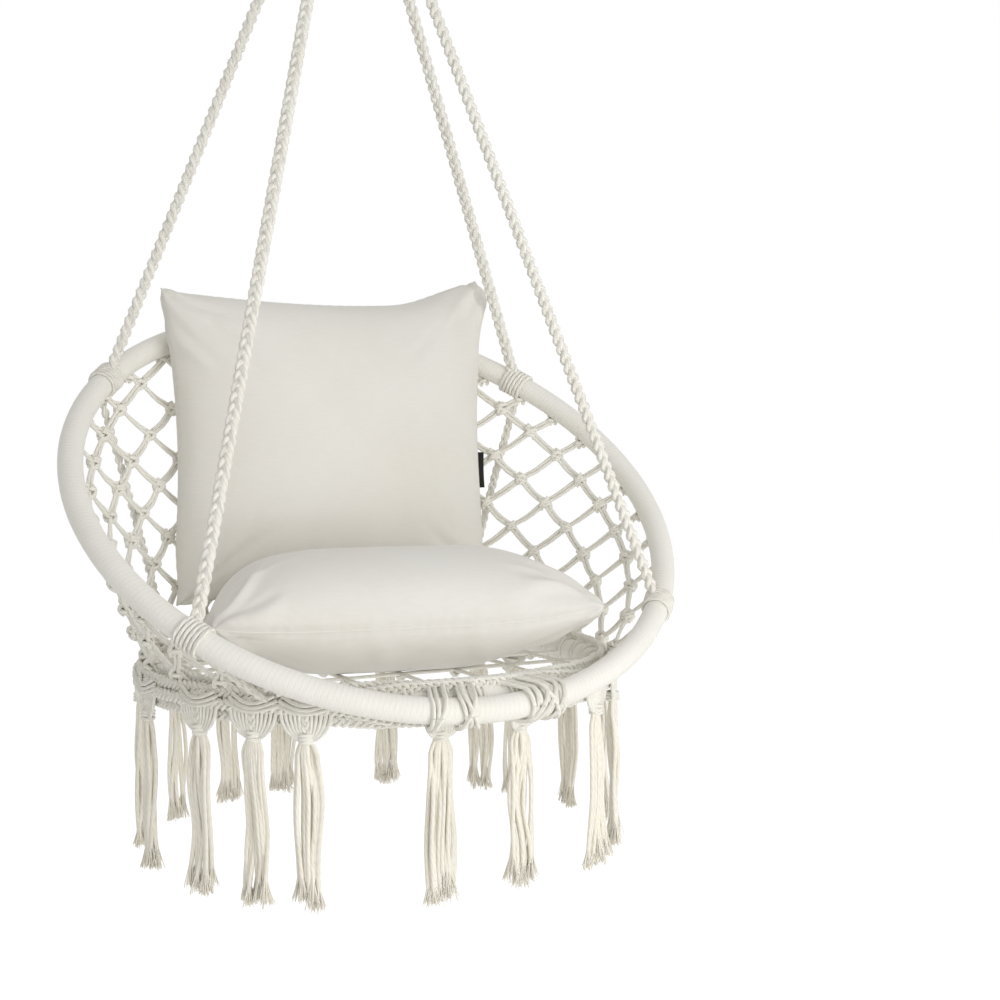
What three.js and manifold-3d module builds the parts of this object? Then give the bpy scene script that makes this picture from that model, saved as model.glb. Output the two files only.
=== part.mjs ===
// Hammock chair: two cord-bound steel hoops, a knotted net between them, four braided ropes that
// meet at a steel ring, a fringe of tassels and two plump cushions.
// Millimetres, +Z up, the open front towards -Y. The origin is where a hook bears inside the ring.

import * as THREE from 'three';
import { mergeVertices } from 'three/addons/utils/BufferGeometryUtils.js';
import Module from 'manifold-3d';

const wasm = await Module();
wasm.setup();

// Clearances
const clearance = 0.3; // between pieces that lie against each other
const overrun = 5; // how far a cutting tool runs past what it cuts

// Hoops: steel tubes bound with cord
const upperHoopDiameter = 800; // over the binding
const lowerHoopDiameter = 600; // over the binding
const hoopTubeDiameter = 25;
const hoopTubeWall = 1.2;
const bindingThickness = 2.6;
const hoopFacets = 36;
const tubeSides = 8;
const buttGap = 1; // between the two ends of a bent tube
const ferruleLength = 80;
const upperHoopTilt = 37.4; // degrees, the back edge high
const frontContactAngle = -14; // degrees, from the lower hoop's front to the upper hoop's front
const hoopContactGap = 0.6;

// Ropes: they leave the upper hoop at four bearings and meet above the seat
const ropeDiameter = 15;
const frontRopeBearing = 38.5; // degrees forward of the chair's side, seen along the hoop
const backRopeBearing = 38.4; // degrees behind it
const meetHeight = 1153; // from the lower hoop's plane to where the ropes' centre lines meet
const meetSetback = 73; // of that point behind the lower hoop's centre
const ropeHeadDrop = 36.4; // from that point down to the ropes' upper ends
const restTilt = -0.57; // degrees, the chair tips forward until its weight lies under the ring
const restRoll = 0.41; // and to the left, because the cushions lie a little to the right
const ropeSteps = 4;
const ropeFootDepth = 3.4; // of a rope's foot into the groove between the lashing's turns

// Steel ring, rope eye and whipping
const ringInnerDiameter = 60;
const ringWire = 10;
const ringSegments = 24;
const eyeThickness = 13;
const eyeWidth = 24;
const neckDiameter = 34;
const whippingLength = 36;
const whippingThickness = 4;
const eyeDrop = 19; // from the ring's wire down to the whipping
const neckOverhang = 3; // of the neck below the whipping
const neckSides = 16;
const eyeSegments = 10;
const boreSides = 16;
const boreShares = [-1, -0.6, -0.3, 0, 0.3, 0.6, 1]; // places along the bore, from its middle
const headGap = 5; // flexing length of the ropes under the neck
const knotBall = 12; // stopper knot of the ropes' cores, in a socket in the neck
const knotRise = 8; // of its middle above the foot of the neck
const knotStem = 6;
const knotPlugLength = 14; // where it fills the space between the ropes
const knotSteps = 6;
const socketNeckShare = 0.73; // how deep in the socket its way out begins, in radii
const sidewaysSwing = 12; // degrees, that the socket leaves the stem

// Lashings: rope wound round the hoop
const lashingTurns = 3;
const lashingCord = 6.6;
const lashingTurnGap = 0.9;
const lashingSteps = 12; // in each turn
const lashingSides = 6;
const lashingEaseShare = 1.1; // how far the wound cord stands off the tube, in half cords

// Drop braids, from the lashings down to the lower hoop
const braidDiameter = 13;
const braidLowerShift = 6; // degrees, how far each one moves towards the back on its way down
const braidNetGap = 6; // between a braid and the net's knots
const braidSteps = 4;
const braidSamples = 400; // places tried for its ends

// Knotted net between the hoops: cords of two slants that cross in knots
const netCord = 5.5;
const netKnot = 9;
const netLines = 22; // of each slant
const netRowHeight = 34.4; // from one row of knots to the next
const lowestKnotHeight = 24.6;
const netHoopMargin = 3; // a knot keeps this much off the hoops
const panelFrontGap = 6; // degrees either side of the front, without a net
const frontPanelHeight = 85; // the front panels end where the net is this high
const panelEdges = [0, 38, 72, 108, 142, 180]; // bearings of the other panels, in degrees
const panelNames = [
  'front_right', 'right_front', 'right_rear', 'back_right', 'back_middle',
  'back_left', 'left_rear', 'left_front', 'front_left',
];

// Seat net inside the lower hoop
const seatNetCord = 6;
const seatNetHeight = 4;
const seatNetPitch = 75;

// Macrame band and its rosettes, round the lower hoop
const bandCord = 12;
const rosetteDiameter = 30;
const rosetteHalfWidth = 3.2; // degrees
const rosetteFlankShare = 0.8;
const bandSides = 8;
const bandStep = 7; // degrees, between the sections of the band
const bandLeanAngle = -50; // degrees, the band lies on the hoop's outer and lower side
const bandTuckAngle = -110; // degrees, and under it at the front, where the upper hoop is in the way
const bandTuckFrom = 14; // degrees either side of the front
const bandTuckTo = 32;
const tieThickness = 6;
const tieWidth = 26;
const tieSweep = 210; // degrees round the upper hoop
const tieStart = 10; // degrees on from the side that faces the band
const tieBearings = [-97, -75]; // where the band is looped over the upper hoop

// Tassels, one under each rosette; bearings in degrees from +X, the front at -90
const tasselBearings = [-178, -155, -140, -128, -98, -76, -53, -35, -13, 6, 27, 38, 65, 95, 112, 133, 157];
const tasselHead = 16;
const tasselLength = 192;
const tasselSides = 8;
const tasselFluteShare = 0.78;
const tasselHeadShares = [[0, 0.25], [0.25, 0.85]]; // how far down the head, and how wide
const tasselSwellShares = [[0.045, 1], [0.1, 0.86], [0.35, 1.25], [0.75, 1.45], [0.93, 1.75], [1, 2.1]];

// Cushions
const cushionWidth = 490;
const cushionDepth = 450;
const cushionThickness = 166;
const coverThickness = 1.6;
const cushionGrid = 10;
const sideDrawShare = 0.085;
const sideDrawPower = 3;
const crownPower = 4; // higher keeps the crown flat for longer
const crownEdgeShare = 0.6; // lower makes it rise more steeply from the seam
const zipWidth = 7;
const zipLength = 300;
const zipSteps = 4;
const seatCushionCentre = [12, 30];
const seatCushionTurn = -10.5; // degrees
const seatCushionBackShare = 0.4; // thickness left under the back cushion
const seatThinShares = [-0.35, 0.8]; // where it thins, from the middle to the rear
const seatCornerLiftShare = 0.1; // of its thickness
const seatCornerPower = 3;
const basketReach = 286; // how far the seat cushion can spread before the net holds it
const basketEaseShare = 0.82; // where the net begins to hold it
const backCushionOffset = 18; // to the right of the chair's middle
const backCushionLean = 2; // degrees
const backCushionHeight = 434;
const footHeight = 90; // of its lower end, which the net draws in
const footDepth = 12;
const footDrawShare = 0.12;
const hoopReachHeight = 60; // below the upper hoop, where it begins to give way to it
const backEaseShare = 0.92; // of the net's reach, where the net begins to hold it
const backSinkShare = 0.93; // of its half thickness, from its middle to the net
const bearingTries = 3; // for the net's bearing beside a place on it
const backStep = 4; // between the places tried for it
const earRise = 27; // of its upper right corner
const earWidth = 110;
const tagLength = 44;
const tagWidth = 12;
const tagThickness = 1;
const tagHeightShare = 0.41; // up the cushion's side

const rad = THREE.MathUtils.degToRad;
const polar = (r, a) => [r * Math.cos(a), r * Math.sin(a)];

// Solids from rings of points
function closedSolid(positions, indices) {
  let volume = 0;
  const p = (i) => new THREE.Vector3(...positions[i]);
  for (let i = 0; i < indices.length; i += 3) {
    const [a, b, c] = [p(indices[i]), p(indices[i + 1]), p(indices[i + 2])];
    volume += a.dot(b.cross(c));
  }
  if (volume < 0) indices.reverse();
  const geometry = new THREE.BufferGeometry();
  geometry.setAttribute('position', new THREE.Float32BufferAttribute(positions.flat(), 3));
  geometry.setIndex(indices);
  return geometry;
}

function wall(indices, first, second, count) {
  for (let i = 0; i < count; i += 1) {
    const j = (i + 1) % count;
    indices.push(first + i, first + j, second + j, first + i, second + j, second + i);
  }
}

// A solid through rings of equal count; the ends are capped flat, or joined when it goes right round
function loft(rings, goesRound = false) {
  const count = rings[0].length;
  const positions = rings.flat().map((v) => v.toArray());
  const indices = [];
  const last = rings.length - 1;
  for (let k = 0; k < last; k += 1) wall(indices, k * count, (k + 1) * count, count);
  if (goesRound) {
    wall(indices, last * count, 0, count);
  } else {
    for (let i = 1; i < count - 1; i += 1) {
      indices.push(0, i + 1, i);
      indices.push(last * count, last * count + i, last * count + i + 1);
    }
  }
  return closedSolid(positions, indices);
}

// A hollow solid open at both ends
function sleeve(outerRings, innerRings) {
  const count = outerRings[0].length;
  const positions = [...outerRings.flat(), ...innerRings.flat()].map((v) => v.toArray());
  const inner = outerRings.length * count;
  const last = (outerRings.length - 1) * count;
  const indices = [];
  for (let k = 0; k < outerRings.length - 1; k += 1) {
    wall(indices, k * count, (k + 1) * count, count);
    wall(indices, inner + (k + 1) * count, inner + k * count, count);
  }
  wall(indices, inner, 0, count);
  wall(indices, last, inner + last, count);
  return closedSolid(positions, indices);
}

// A round bar along points, with its section kept square to them
function bar(points, radius, sides, reference) {
  const rings = points.map((p, i) => {
    const before = points[Math.max(i - 1, 0)];
    const after = points[Math.min(i + 1, points.length - 1)];
    const along = after.clone().sub(before).normalize();
    const out = reference(p, i);
    out.addScaledVector(along, -out.dot(along)).normalize();
    const side = along.clone().cross(out);
    return Array.from({ length: sides }, (_, k) => {
      const [c, s] = polar(radius, (2 * Math.PI * (k + 0.5)) / sides);
      return p.clone().addScaledVector(out, c).addScaledVector(side, s);
    });
  });
  return loft(rings);
}

// Joining and cutting
function toManifold(geometry) {
  const plain = geometry.clone();
  plain.deleteAttribute('normal');
  plain.deleteAttribute('uv');
  const merged = mergeVertices(plain, 1e-5);
  return new wasm.Manifold(new wasm.Mesh({
    numProp: 3,
    vertProperties: new Float32Array(merged.attributes.position.array),
    triVerts: new Uint32Array(merged.index.array),
  }));
}

function toGeometry(manifold) {
  const mesh = manifold.getMesh();
  const geometry = new THREE.BufferGeometry();
  geometry.setAttribute('position', new THREE.BufferAttribute(new Float32Array(mesh.vertProperties), 3));
  geometry.setIndex(new THREE.BufferAttribute(new Uint32Array(mesh.triVerts), 1));
  return geometry;
}

const join = (geometries) => geometries.map(toManifold).reduce((a, b) => a.add(b));
const cut = (geometry, tools) => tools.map(toManifold).reduce((a, b) => a.subtract(b), toManifold(geometry));

// Materials
const chair = new THREE.Group();
const hung = new THREE.Group(); // what tips with the chair
chair.add(hung);

function piece(parent, name, geometry, look) {
  const shaded = geometry.index ? geometry.toNonIndexed() : geometry;
  shaded.computeVertexNormals();
  const mesh = new THREE.Mesh(shaded, new THREE.MeshStandardMaterial(look));
  mesh.name = name;
  parent.add(mesh);
  return mesh;
}
const cord = { color: 0xece7da, roughness: 0.9 };
const binding = { color: 0xf1eee6, roughness: 0.85 };
const canvas = { color: 0xe4e1d8, roughness: 0.9 };
const filling = { color: 0xf4f2ec, roughness: 1 };
const zipTape = { color: 0xe4e1d8, roughness: 0.6 };
const label = { color: 0x1c1b1a, roughness: 0.7 };
const steel = { color: 0x9a9ea2, roughness: 0.4, metalness: 0.8 };
const polishedSteel = { color: 0xa8abae, roughness: 0.25, metalness: 1 };

// Hoop frames. A hoop is a polygon of equal chords, so everything that follows it lies true on it.
const bindingRadius = hoopTubeDiameter / 2 + bindingThickness + clearance;
const upperTilt = rad(upperHoopTilt);
const contactDistance = 2 * bindingRadius + hoopContactGap;
const lowerHoop = { radius: lowerHoopDiameter / 2 - bindingRadius, tilt: 0, centre: new THREE.Vector3() };
const upperRadius = upperHoopDiameter / 2 - bindingRadius;
const [contactOut, contactUp] = polar(contactDistance, rad(frontContactAngle));
const upperHoop = {
  radius: upperRadius,
  tilt: upperTilt,
  centre: new THREE.Vector3(
    0,
    -lowerHoop.radius - contactOut + upperRadius * Math.cos(upperTilt),
    contactUp + upperRadius * Math.sin(upperTilt),
  ),
};
const chordAngle = (2 * Math.PI) / hoopFacets;

function chordReach(hoop, angle) {
  const within = angle - Math.floor(angle / chordAngle) * chordAngle - chordAngle / 2;
  return (hoop.radius * Math.cos(chordAngle / 2)) / Math.cos(within);
}

function hoopFrame(hoop, angle) {
  const out = new THREE.Vector3(
    Math.cos(angle),
    Math.sin(angle) * Math.cos(hoop.tilt),
    Math.sin(angle) * Math.sin(hoop.tilt),
  );
  const up = new THREE.Vector3(0, -Math.sin(hoop.tilt), Math.cos(hoop.tilt));
  const along = up.clone().cross(out);
  return { centre: hoop.centre.clone().addScaledVector(out, chordReach(hoop, angle)), out, up, along };
}

function hoopPoint(hoop, angle, radius, section) {
  const { centre, out, up } = hoopFrame(hoop, angle);
  const [c, s] = polar(radius, section);
  return centre.addScaledVector(out, c).addScaledVector(up, s);
}

function hoopAngles(start, end) {
  const angles = [start];
  const first = Math.floor(start / chordAngle + 1e-6) + 1;
  for (let k = first; k * chordAngle < end - 1e-6; k += 1) angles.push(k * chordAngle);
  return [...angles, end];
}

const hoopRing = (hoop, angle, radius, sides = tubeSides) =>
  Array.from({ length: sides }, (_, k) => hoopPoint(hoop, angle, radius, (2 * Math.PI * (k + 0.5)) / sides));

function hoopSleeve(hoop, start, end, outer, inner) {
  const angles = hoopAngles(start, end);
  return sleeve(angles.map((a) => hoopRing(hoop, a, outer)), angles.map((a) => hoopRing(hoop, a, inner)));
}

function hoopRod(hoop, start, end, radius) {
  return loft(hoopAngles(start, end).map((a) => hoopRing(hoop, a, radius)));
}

// Each tube is bent round to a butt at the back, closed over a ferrule
const tubeRadius = hoopTubeDiameter / 2;
const boreRadius = tubeRadius - hoopTubeWall;
const bindingInner = tubeRadius + clearance;
const backAngle = Math.PI / 2;
for (const [name, hoop] of [['upper', upperHoop], ['lower', lowerHoop]]) {
  const butt = buttGap / 2 / hoop.radius;
  const start = backAngle + butt;
  const end = backAngle + 2 * Math.PI - butt;
  piece(hung, `${name}_hoop_tube`, hoopSleeve(hoop, start, end, tubeRadius, boreRadius), steel);
  const reach = ferruleLength / 2 / hoop.radius;
  const ferrule = hoopRod(hoop, backAngle - reach, backAngle + reach, boreRadius - clearance);
  piece(hung, `${name}_hoop_ferrule`, ferrule, steel);
}
const seam = clearance / 2 / lowerHoop.radius;
const [seamStart, seamEnd] = [backAngle + seam, backAngle + 2 * Math.PI - seam];
const lowerBinding = hoopSleeve(lowerHoop, seamStart, seamEnd, bindingRadius, bindingInner);
piece(hung, 'lower_hoop_binding', lowerBinding, binding);

// Lashings at the four rope bearings, and the stretches of binding between them
const corners = [
  { name: 'front_right', angle: -rad(frontRopeBearing), back: false },
  { name: 'back_right', angle: rad(backRopeBearing), back: true },
  { name: 'back_left', angle: Math.PI - rad(backRopeBearing), back: true },
  { name: 'front_left', angle: Math.PI + rad(frontRopeBearing), back: false },
];
const lashingPitch = lashingCord + lashingTurnGap;
const lashingRadius = tubeRadius + clearance + (lashingCord / 2) * lashingEaseShare;
const lashingHalfLength = (lashingTurns * lashingPitch + lashingCord) / 2 + 2 * clearance;
const lashingHalfAngle = lashingHalfLength / upperHoop.radius;

function lashingPoints(angle) {
  const steps = lashingTurns * lashingSteps;
  const points = Array.from({ length: steps + 1 }, (_, i) => {
    const turn = i / lashingSteps;
    const shift = (turn - lashingTurns / 2) * lashingPitch;
    return hoopPoint(upperHoop, angle + shift / upperHoop.radius, lashingRadius, 2 * Math.PI * turn);
  });
  const tail = (from, to) => to.clone().add(to.clone().sub(from).setLength(lashingCord));
  return [tail(points[1], points[0]), ...points, tail(points[steps - 1], points[steps])];
}

function leastTurnGap(points) {
  let least = Infinity;
  points.forEach((p, i) => {
    for (let j = i + Math.floor(lashingSteps / 2); j < points.length; j += 1) {
      least = Math.min(least, p.distanceTo(points[j]));
    }
  });
  return least - lashingCord;
}

for (const { name, angle } of corners) {
  const points = lashingPoints(angle);
  const outward = (p) => {
    const { centre } = hoopFrame(upperHoop, angle);
    return p.clone().sub(centre);
  };
  piece(hung, `lashing_${name}`, bar(points, lashingCord / 2, lashingSides, outward), cord);
  console.log(`lashing_${name}: least gap between turns ${leastTurnGap(points).toFixed(2)} mm`);
}
corners.forEach(({ angle }, i) => {
  const next = corners[(i + 1) % corners.length].angle;
  const end = next > angle ? next : next + 2 * Math.PI;
  const names = ['right', 'back', 'left', 'front'];
  piece(
    hung,
    `upper_hoop_binding_${names[i]}`,
    hoopSleeve(upperHoop, angle + lashingHalfAngle, end - lashingHalfAngle, bindingRadius, bindingInner),
    binding,
  );
});

// Ropes, straight under load, from the lashings to where they meet
const meet = new THREE.Vector3(0, meetSetback, meetHeight);
const lashingOuter = lashingRadius + (lashingCord / 2) * Math.cos(Math.PI / lashingSides);
const sideways = () => new THREE.Vector3(1, 0, 0);
let ropeSpread = Infinity; // outward run of the steepest ropes for each millimetre down
for (const { name, angle } of corners) {
  const { centre, along: tangent } = hoopFrame(upperHoop, angle);
  const along = meet.clone().sub(centre);
  const length = along.length();
  along.normalize();
  ropeSpread = Math.min(ropeSpread, Math.hypot(along.x, along.y) / along.z);
  const headShare = ropeHeadDrop / (meet.z - centre.z);
  const slant = Math.acos(Math.abs(along.dot(tangent)));
  const footRise = (lashingOuter + clearance + (ropeDiameter / 2) * Math.cos(slant)) / Math.sin(slant);
  const start = footRise - ropeFootDepth;
  const end = length * (1 - headShare);
  const steps = Array.from({ length: ropeSteps + 1 }, (_, i) => start + ((end - start) * i) / ropeSteps);
  const points = steps.map((s) => centre.clone().addScaledVector(along, s));
  piece(hung, `rope_${name}`, bar(points, ropeDiameter / 2, tubeSides, sideways), cord);
}

// The net hangs between the hoops' centre lines. A place on it is an angle round the chair and a height.
const netTop = (angle) => upperHoop.centre.z + upperHoop.radius * Math.sin(angle) * Math.sin(upperHoop.tilt);
function netPoint(angle, height, inset = 0) {
  const upper = hoopFrame(upperHoop, angle).centre;
  const lower = hoopFrame(lowerHoop, angle).centre;
  const point = lower.lerp(upper, height / netTop(angle));
  return point.addScaledVector(new THREE.Vector3(Math.cos(angle), Math.sin(angle), 0), -inset);
}
const lineSpacing = 2 * Math.PI / netLines;
const knotAngle = (m) => backAngle + (m * lineSpacing) / 2;
const knotHeight = (n) => lowestKnotHeight + n * netRowHeight;

// The gap between a point and the flat sides of a hoop's binding or lashing of the given radius
const seenFrom = (hoop, point) =>
  point.clone().sub(hoop.centre).applyAxisAngle(new THREE.Vector3(1, 0, 0), -hoop.tilt);
function gapTo(hoop, point, radius) {
  const local = seenFrom(hoop, point);
  const out = Math.hypot(local.x, local.y) - chordReach(hoop, Math.atan2(local.y, local.x));
  const side = (2 * Math.PI) / tubeSides;
  const section = Math.atan2(local.z, out);
  const off = section - side * Math.round(section / side);
  return Math.hypot(out, local.z) * Math.cos(off) - radius * Math.cos(side / 2);
}
const turnBetween = (a, b) => Math.abs(Math.atan2(Math.sin(a - b), Math.cos(a - b)));
const lashingFlats = lashingOuter / Math.cos(Math.PI / tubeSides);
function clearOfHoops(point, gap) {
  const local = seenFrom(upperHoop, point);
  const bearing = Math.atan2(local.y, local.x);
  const reach = lashingHalfAngle + lashingCord / upperHoop.radius;
  const lashed = corners.some(({ angle }) => turnBetween(bearing, angle) < reach);
  const upperGap = gapTo(upperHoop, point, lashed ? lashingFlats : bindingRadius);
  return upperGap > gap && gapTo(lowerHoop, point, bindingRadius) > gap;
}

// Knots where the two slants cross; odd columns and odd rows go together
const knots = new Map();
const key = (m, n) => `${((m % (2 * netLines)) + 2 * netLines) % (2 * netLines)},${n}`;
for (let m = 0; m < 2 * netLines; m += 1) {
  for (let n = m % 2 === 0 ? 1 : 0; knotHeight(n) < netTop(knotAngle(m)); n += 2) {
    const place = netPoint(knotAngle(m), knotHeight(n));
    if (clearOfHoops(place, netKnot / 2 + netHoopMargin)) knots.set(key(m, n), { m, n, place });
  }
}

// A knot is a small block with a face towards each of its four neighbours, and its outer and inner
// sides rise to a point. Its cords run from face to face.
const knotCorners = [[1, 0], [0, 1], [-1, 0], [0, -1]]; // right, up, left, down on the net
const cordWays = [[1, 1], [-1, 1], [-1, -1], [1, -1]]; // the neighbour between corner i and corner i + 1
function knotFrame(knot) {
  const angle = knotAngle(knot.m);
  const right = netPoint(angle + lineSpacing / 4, knotHeight(knot.n)).sub(knot.place).normalize();
  const up = netPoint(angle, knotHeight(knot.n + 1)).sub(knot.place).normalize();
  return { right, up, out: right.clone().cross(up).normalize() };
}
function knotVertices(knot) {
  const { right, up, out } = knotFrame(knot);
  const layer = (side) => knotCorners.map(([r, u]) => knot.place.clone()
    .addScaledVector(right, (r * netKnot) / 2)
    .addScaledVector(up, (u * netKnot) / 2)
    .addScaledVector(out, (side * netCord) / 2));
  const peak = (side) => knot.place.clone().addScaledVector(out, (side * netKnot) / 2);
  return { outer: layer(1), inner: layer(-1), outerPeak: peak(1), innerPeak: peak(-1) };
}
const faceOf = (vertices, i) => {
  const j = (i + 1) % 4;
  return [vertices.outer[i], vertices.outer[j], vertices.inner[j], vertices.inner[i]];
};

// How far a cord can run from its knot before it meets a hoop, tried at places all over its end
const runStep = clearance / 2;
const endShares = [0, 0.25, 0.5, 0.75, 1];
function clearRun([a, b, c, d], way, limit) {
  const places = endShares.flatMap((i) => {
    const [from, to] = [a.clone().lerp(b, i), d.clone().lerp(c, i)];
    return endShares.map((j) => from.clone().lerp(to, j));
  });
  const moved = (length) => places.map((v) => v.clone().addScaledVector(way, length));
  const free = (length) => moved(length).every((v) => clearOfHoops(v, clearance));
  let run = 0;
  while (run + runStep <= limit && free(run + runStep)) run += runStep;
  return run;
}

// How near to a crossing a cord comes: up to the knot there, past a crossing without a knot, or short of
// the cord that passes it
const knotFace = netKnot / 2 / Math.SQRT2;
function crossingSpare(hasKnot, passes) {
  if (hasKnot) return 2 * knotFace + 3 * clearance;
  return passes ? -netKnot : 2 * knotFace + netKnot / 4;
}

function netPanel(panel) {
  const positions = [];
  const indices = [];
  const add = (v) => positions.push(v.toArray()) - 1;
  const quad = (a, b, c, d) => indices.push(a, b, c, a, c, d);
  const mine = [...knots.values()].filter((knot) => panelOf(knot.m) === panel);
  const numbered = new Map();
  for (const knot of mine) {
    const vertices = knotVertices(knot);
    numbered.set(knot, { outer: vertices.outer.map(add), inner: vertices.inner.map(add), vertices });
    const { outer, inner } = numbered.get(knot);
    const [front, rear] = [add(vertices.outerPeak), add(vertices.innerPeak)];
    for (let i = 0; i < 4; i += 1) {
      const j = (i + 1) % 4;
      indices.push(front, outer[i], outer[j], rear, inner[j], inner[i]);
    }
  }
  for (const knot of mine) {
    const own = numbered.get(knot);
    cordWays.forEach(([dm, dn], i) => {
      const near = faceOf(own, i);
      const other = knots.get(key(knot.m + dm, knot.n + dn));
      const opposite = (i + 2) % 4;
      if (other && panelOf(other.m) === panel) {
        if (dn < 0) return;
        const far = faceOf(numbered.get(other), opposite);
        const facing = [far[1], far[0], far[3], far[2]];
        near.forEach((v, k) => quad(near[(k + 1) % 4], v, facing[k], facing[(k + 1) % 4]));
        return;
      }
      // A free end: at a hoop, or at a knot of the next panel
      const start = faceOf(own.vertices, i);
      const aim = netPoint(knotAngle(knot.m + dm), knotHeight(knot.n + dn)).sub(knot.place);
      const way = aim.clone().normalize();
      const run = clearRun(start, way, aim.length() - crossingSpare(Boolean(other), dm > 0));
      if ((other && dn < 0) || run < netCord / 2) {
        quad(near[3], near[2], near[1], near[0]);
        return;
      }
      const far = start.map((v) => add(v.clone().addScaledVector(way, run)));
      near.forEach((v, k) => quad(near[(k + 1) % 4], v, far[k], far[(k + 1) % 4]));
      quad(far[3], far[2], far[1], far[0]);
    });
  }
  return closedSolid(positions, indices);
}

const frontPanelRise = (frontPanelHeight - upperHoop.centre.z) / (upperHoop.radius * Math.sin(upperTilt));
const frontPanelEnd = Math.asin(Math.min(Math.max(frontPanelRise, -1), 1));
const frontPanelStart = rad(panelFrontGap - 90);
const panelBounds = [
  frontPanelStart, frontPanelEnd, ...panelEdges.map(rad), Math.PI - frontPanelEnd, Math.PI - frontPanelStart,
];
function panelOf(m) {
  let angle = knotAngle(m) % (2 * Math.PI);
  if (angle > panelBounds[panelBounds.length - 1]) angle -= 2 * Math.PI;
  return panelBounds.findIndex((bound, i) => angle >= bound && angle < panelBounds[i + 1]);
}
panelNames.forEach((name, panel) => piece(hung, `net_${name}`, netPanel(panel), cord));

// Drop braids, just outside the net
const braidInset = -(braidDiameter / 2 + netKnot / 2 + braidNetGap);
for (const { name, angle, back } of corners) {
  const right = Math.cos(angle) > 0;
  const turn = rad(back ? braidLowerShift : -braidLowerShift) * (right ? 1 : -1);
  const topHeight = netTop(angle);
  const reach = (share) => netPoint(angle + turn * (1 - share), topHeight * share, braidInset);
  const run = reach(1).sub(reach(0)).normalize();
  const across = new THREE.Vector3(0, 0, 1).cross(run).normalize();
  const rim = Array.from({ length: tubeSides }, (_, k) => (2 * Math.PI * (k + 0.5)) / tubeSides);
  const fits = Array.from({ length: braidSamples + 1 }, (_, i) => i / braidSamples).filter((share) => {
    const centre = reach(share);
    return rim.every((turn) => {
      const offset = across.clone().multiplyScalar(braidDiameter / 2).applyAxisAngle(run, turn);
      return clearOfHoops(offset.add(centre), clearance);
    });
  });
  const [from, to] = [fits[0], fits[fits.length - 1]];
  const shares = Array.from({ length: braidSteps + 1 }, (_, i) => from + ((to - from) * i) / braidSteps);
  const points = shares.map(reach);
  const outward = (p) => new THREE.Vector3(p.x, p.y, 0);
  piece(hung, `drop_braid_${name}`, bar(points, braidDiameter / 2, tubeSides, outward), cord);
}

// Seat net: a grid of flat cords with an edge cord laced inside the lower hoop
const seatRadius = lowerHoop.radius - bindingRadius * Math.cos(Math.PI / tubeSides) - clearance;
const seatDisc = (radius, height) => {
  const disc = new THREE.CylinderGeometry(radius, radius, height, hoopFacets);
  disc.rotateX(Math.PI / 2);
  disc.rotateZ(Math.PI / 2);
  return toManifold(disc);
};
const seatCells = [];
const seatRows = Math.ceil(seatRadius / seatNetPitch);
for (let i = -seatRows; i < seatRows; i += 1) {
  for (let j = -seatRows; j < seatRows; j += 1) {
    const side = seatNetPitch - seatNetCord;
    const [x, y] = [(i + 0.5) * seatNetPitch, (j + 0.5) * seatNetPitch];
    if (Math.hypot(x, y) > seatRadius) continue;
    const cell = new THREE.BoxGeometry(side, side, seatNetHeight + overrun);
    cell.translate(x, y, 0);
    seatCells.push(cell);
  }
}
const seatHoles = join(seatCells).intersect(seatDisc(seatRadius - seatNetCord, seatNetHeight + 2 * overrun));
piece(hung, 'seat_net', toGeometry(seatDisc(seatRadius, seatNetHeight).subtract(seatHoles)), cord);

// Macrame band: a cord bundle on the lower hoop's outer and lower side, swollen into a rosette over
// each tassel, and looped over the upper hoop at the front
const bandSections = [];
const tasselAngles = tasselBearings.map(rad);
tasselAngles.forEach((angle, i) => {
  const next = i + 1 < tasselAngles.length ? tasselAngles[i + 1] : tasselAngles[0] + 2 * Math.PI;
  const flank = rad(rosetteHalfWidth);
  const flankRadius = (rosetteDiameter / 2) * rosetteFlankShare;
  bandSections.push([angle, rosetteDiameter / 2], [angle + flank, flankRadius]);
  const steps = Math.max(2, Math.ceil((next - angle - 2 * flank) / rad(bandStep)));
  for (let k = 1; k < steps; k += 1) {
    bandSections.push([THREE.MathUtils.lerp(angle + flank, next - flank, k / steps), bandCord / 2]);
  }
  bandSections.push([next - flank, flankRadius]);
});
const frontAngle = -Math.PI / 2;
function bandLean(angle) {
  const off = turnBetween(angle, frontAngle);
  const share = THREE.MathUtils.smoothstep(off, rad(bandTuckFrom), rad(bandTuckTo));
  return rad(THREE.MathUtils.lerp(bandTuckAngle, bandLeanAngle, share));
}
const bandSlack = lowerHoop.radius * (1 - Math.cos(chordAngle / 2));
const bandCentre = (angle, radius) =>
  hoopPoint(lowerHoop, angle, bindingRadius + clearance + bandSlack + radius, bandLean(angle));
const bandRing = ([angle, radius]) => {
  const { out, up } = hoopFrame(lowerHoop, angle);
  const centre = bandCentre(angle, radius);
  return Array.from({ length: bandSides }, (_, k) => {
    const [c, s] = polar(radius, (2 * Math.PI * (k + 0.5)) / bandSides);
    return centre.clone().addScaledVector(out, c).addScaledVector(up, s);
  });
};
const band = [loft(bandSections.map(bandRing), true)];
const tieInner = bindingRadius + clearance;
const tieOuter = tieInner + tieThickness;
const wedgeReach = 2 * tieOuter;
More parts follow.
